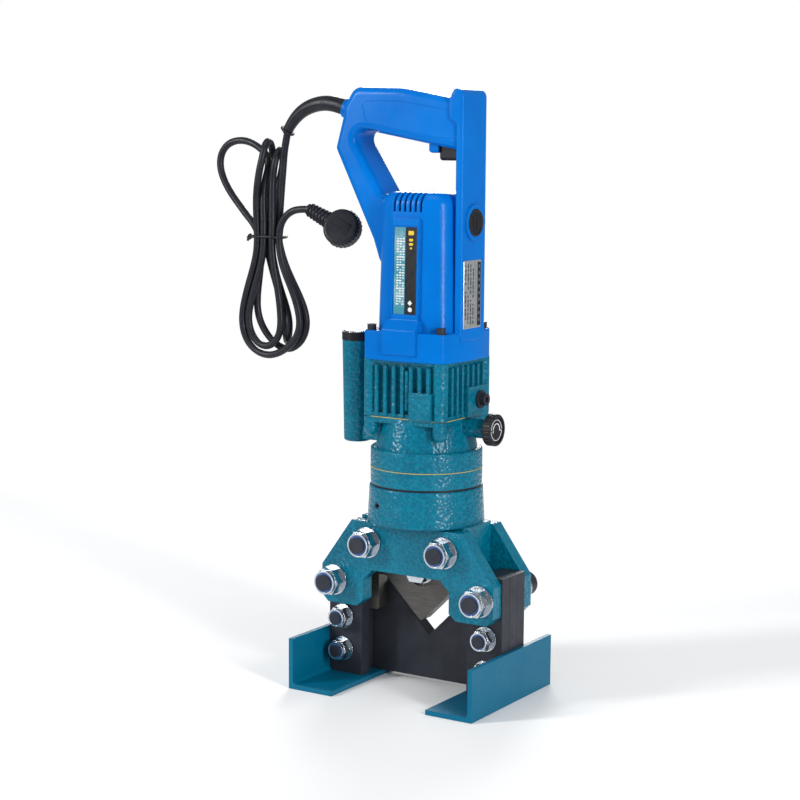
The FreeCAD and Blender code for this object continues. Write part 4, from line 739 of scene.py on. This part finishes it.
def rating_plate():
    """The silver plate on the spine: a dark strip along its rear edge, short bars in columns, fine rules."""
    across, up, out = Vector((0, 1, 0)), Vector((0, 0, 1)), Vector((1, 0, 0))

    def on_plate(y, z, lift):
        return at_axis(RATING_X + lift, y, z)

    def base(bm):
        slab(bm, on_plate(-3, RATING_MIDDLE, -0.1), across, up, out, 0.0160, 0.0320, 0.0006, 0.0012)

    def strip_and_bars(bm):
        slab(bm, on_plate(STRIP_Y, RATING_MIDDLE, 0.4), across, up, out, 0.0030, 0.0300, 0.0002, 0.0006)
        for column in range(4):
            for row in range(14):
                if (row * 3 + column * 5) % 8 == 7:
                    continue
                length = 0.0010 + 0.0005 * ((row + column * 2) % 3)
                slab(bm, on_plate(-15.5 + column * 4.6, 414 - row * 4.1, 0.4), up, across, out,
                     length, 0.0008, 0.0002, 0.0003)

    def marks_and_rules(bm):
        """Grey squares down the strip, and two fine rules beside it."""
        for row in range(9):
            slab(bm, on_plate(STRIP_Y, 413 - row * 6.3, 0.6), across, up, out,
                 0.0014, 0.0015, 0.0001, 0.0004)
        for column in range(2):
            slab(bm, on_plate(3.6 - column * 1.6, RATING_MIDDLE, 0.4), across, up, out,
                 0.00016, 0.0290, 0.0001, 0.0001)

    finish_piece(mesh_object("rating_plate", base), PLATE_SILVER)
    finish_piece(mesh_object("rating_head", strip_and_bars), LABEL_BLACK)
    finish_piece(mesh_object("rating_rules", marks_and_rules), GREY)


rating_plate()

# ---- release knob: a pale ring and a curved turn mark, riding on the knob


KNOB_FACE = at_axis(66 + 3.3 + 9 - 1.4, 0, 259.5)


def round_knob(radius, angle):
    """A point on the knob's face, this far from its middle."""
    return KNOB_FACE + Vector((0.0002, radius * math.cos(angle), radius * math.sin(angle)))


def knob_mark(bm):
    """A pale ring, and a curved mark with two barbs at its end."""
    tube(bm, [round_knob(0.0098, 2 * math.pi * k / 60) for k in range(60)], 0.00035, 6)
    arc = [round_knob(0.0062, math.radians(200 - 9 * k)) for k in range(24)]
    tube(bm, arc, 0.0005, 6, closed=False)
    barbs = [arc[-1] + Vector((0, 0.0022, 0.0004)), arc[-1], arc[-1] + Vector((0, -0.0004, 0.0024))]
    tube(bm, barbs, 0.0005, 6, closed=False)


finish_piece(mesh_object("knob_mark", knob_mark, "release_valve"), WHITE)

# ---- brush caps: a moulded rim, a dished face and a driver slot on each side


CAP_PROFILE = [                 # distance outward, radius
    (-0.0004, 0.0130), (0.0004, 0.0129), (0.0009, 0.0124),
    (0.0009, 0.0108), (0.0001, 0.0102), (0.0001, 0.0004),
]


def brush_cap_face(side):
    def build(bm):
        start = at_axis(side * 52.3, 0, 454)
        lathe(bm, start, (side, 0, 0), CAP_PROFILE, 56)
        for offset in (-0.0026, 0.0026):
            slab(bm, start + Vector((0, offset, 0)), (0, 1, 0), (0, 0, 1), (side, 0, 0),
                 0.0014, 0.0080, 0.0008, 0.0005)
    return build


for side, tag in ((1, "right"), (-1, "left")):
    finish_piece(mesh_object(f"brush_cap_face_{tag}", brush_cap_face(side)),
                 LOOKS["black_plastic"])

# ---- floor and light


FLOOR_RADIUS = 1.15
FLOOR_SIDES = 96


def stage():
    """A round pale floor, just under the feet."""
    mesh = bpy.data.meshes.new("floor")
    turns = [2 * math.pi * side / FLOOR_SIDES for side in range(FLOOR_SIDES)]
    rim = [(FLOOR_RADIUS * math.cos(turn), FLOOR_RADIUS * math.sin(turn), 0) for turn in turns]
    mesh.from_pydata(rim, [], [tuple(range(FLOOR_SIDES))])
    floor = bpy.data.objects.new("floor", mesh)
    bpy.context.scene.collection.objects.link(floor)
    floor.location.z = -0.0003
    paint = Paint("floor_paper", (0.93, 0.93, 0.93), 0.9, specular=0.1)
    paint.vary((0.915, 0.915, 0.915), 3)
    paint.relief(paint.noise(40, 3.0), 0.02, 0.001)
    mesh.materials.append(paint.done())


MIDDLE = (0, 0, 0.3)


def area_light(name, place, size, power):
    """A rectangular light that faces the tool's middle."""
    data = bpy.data.lights.new(name, "AREA")
    data.shape = "RECTANGLE"
    data.size, data.size_y = size
    data.energy = power
    light = bpy.data.objects.new(name, data)
    bpy.context.scene.collection.objects.link(light)
    toward = Vector(MIDDLE) - Vector(place)
    light.matrix_world = Matrix.Translation(place) @ toward.to_track_quat("-Z", "Y").to_matrix().to_4x4()


stage()
area_light("key", (-1.5, -1.8, 1.2), (0.3, 1.3), 42)
area_light("fill", (2.0, -0.9, 0.8), (0.28, 1.4), 36)
area_light("top", (0.1, -0.3, 2.4), (1.2, 1.2), 9)
area_light("rim", (-1.0, 2.0, 1.3), (0.8, 1.0), 30)


def studio_world():
    """A white backdrop for the eye, and a softer glow for lighting, so that colours stay deep."""
    world = bpy.data.worlds.new("studio")
    world.use_nodes = True
    tree = world.node_tree
    backdrop = tree.nodes["Background"]
    backdrop.inputs["Color"].default_value = (1, 1, 1, 1)
    backdrop.inputs["Strength"].default_value = 1.0
    glow = tree.nodes.new("ShaderNodeBackground")
    glow.inputs["Color"].default_value = (0.95, 0.98, 1, 1)
    glow.inputs["Strength"].default_value = 0.33
    rays = tree.nodes.new("ShaderNodeLightPath")
    choose = tree.nodes.new("ShaderNodeMixShader")
    tree.links.new(rays.outputs["Is Camera Ray"], choose.inputs["Fac"])
    tree.links.new(glow.outputs["Background"], choose.inputs[1])
    tree.links.new(backdrop.outputs["Background"], choose.inputs[2])
    tree.links.new(choose.outputs["Shader"], tree.nodes["World Output"].inputs["Surface"])
    bpy.context.scene.world = world


studio_world()
bpy.context.scene.view_settings.view_transform = "Standard"

bpy.context.view_layer.update()
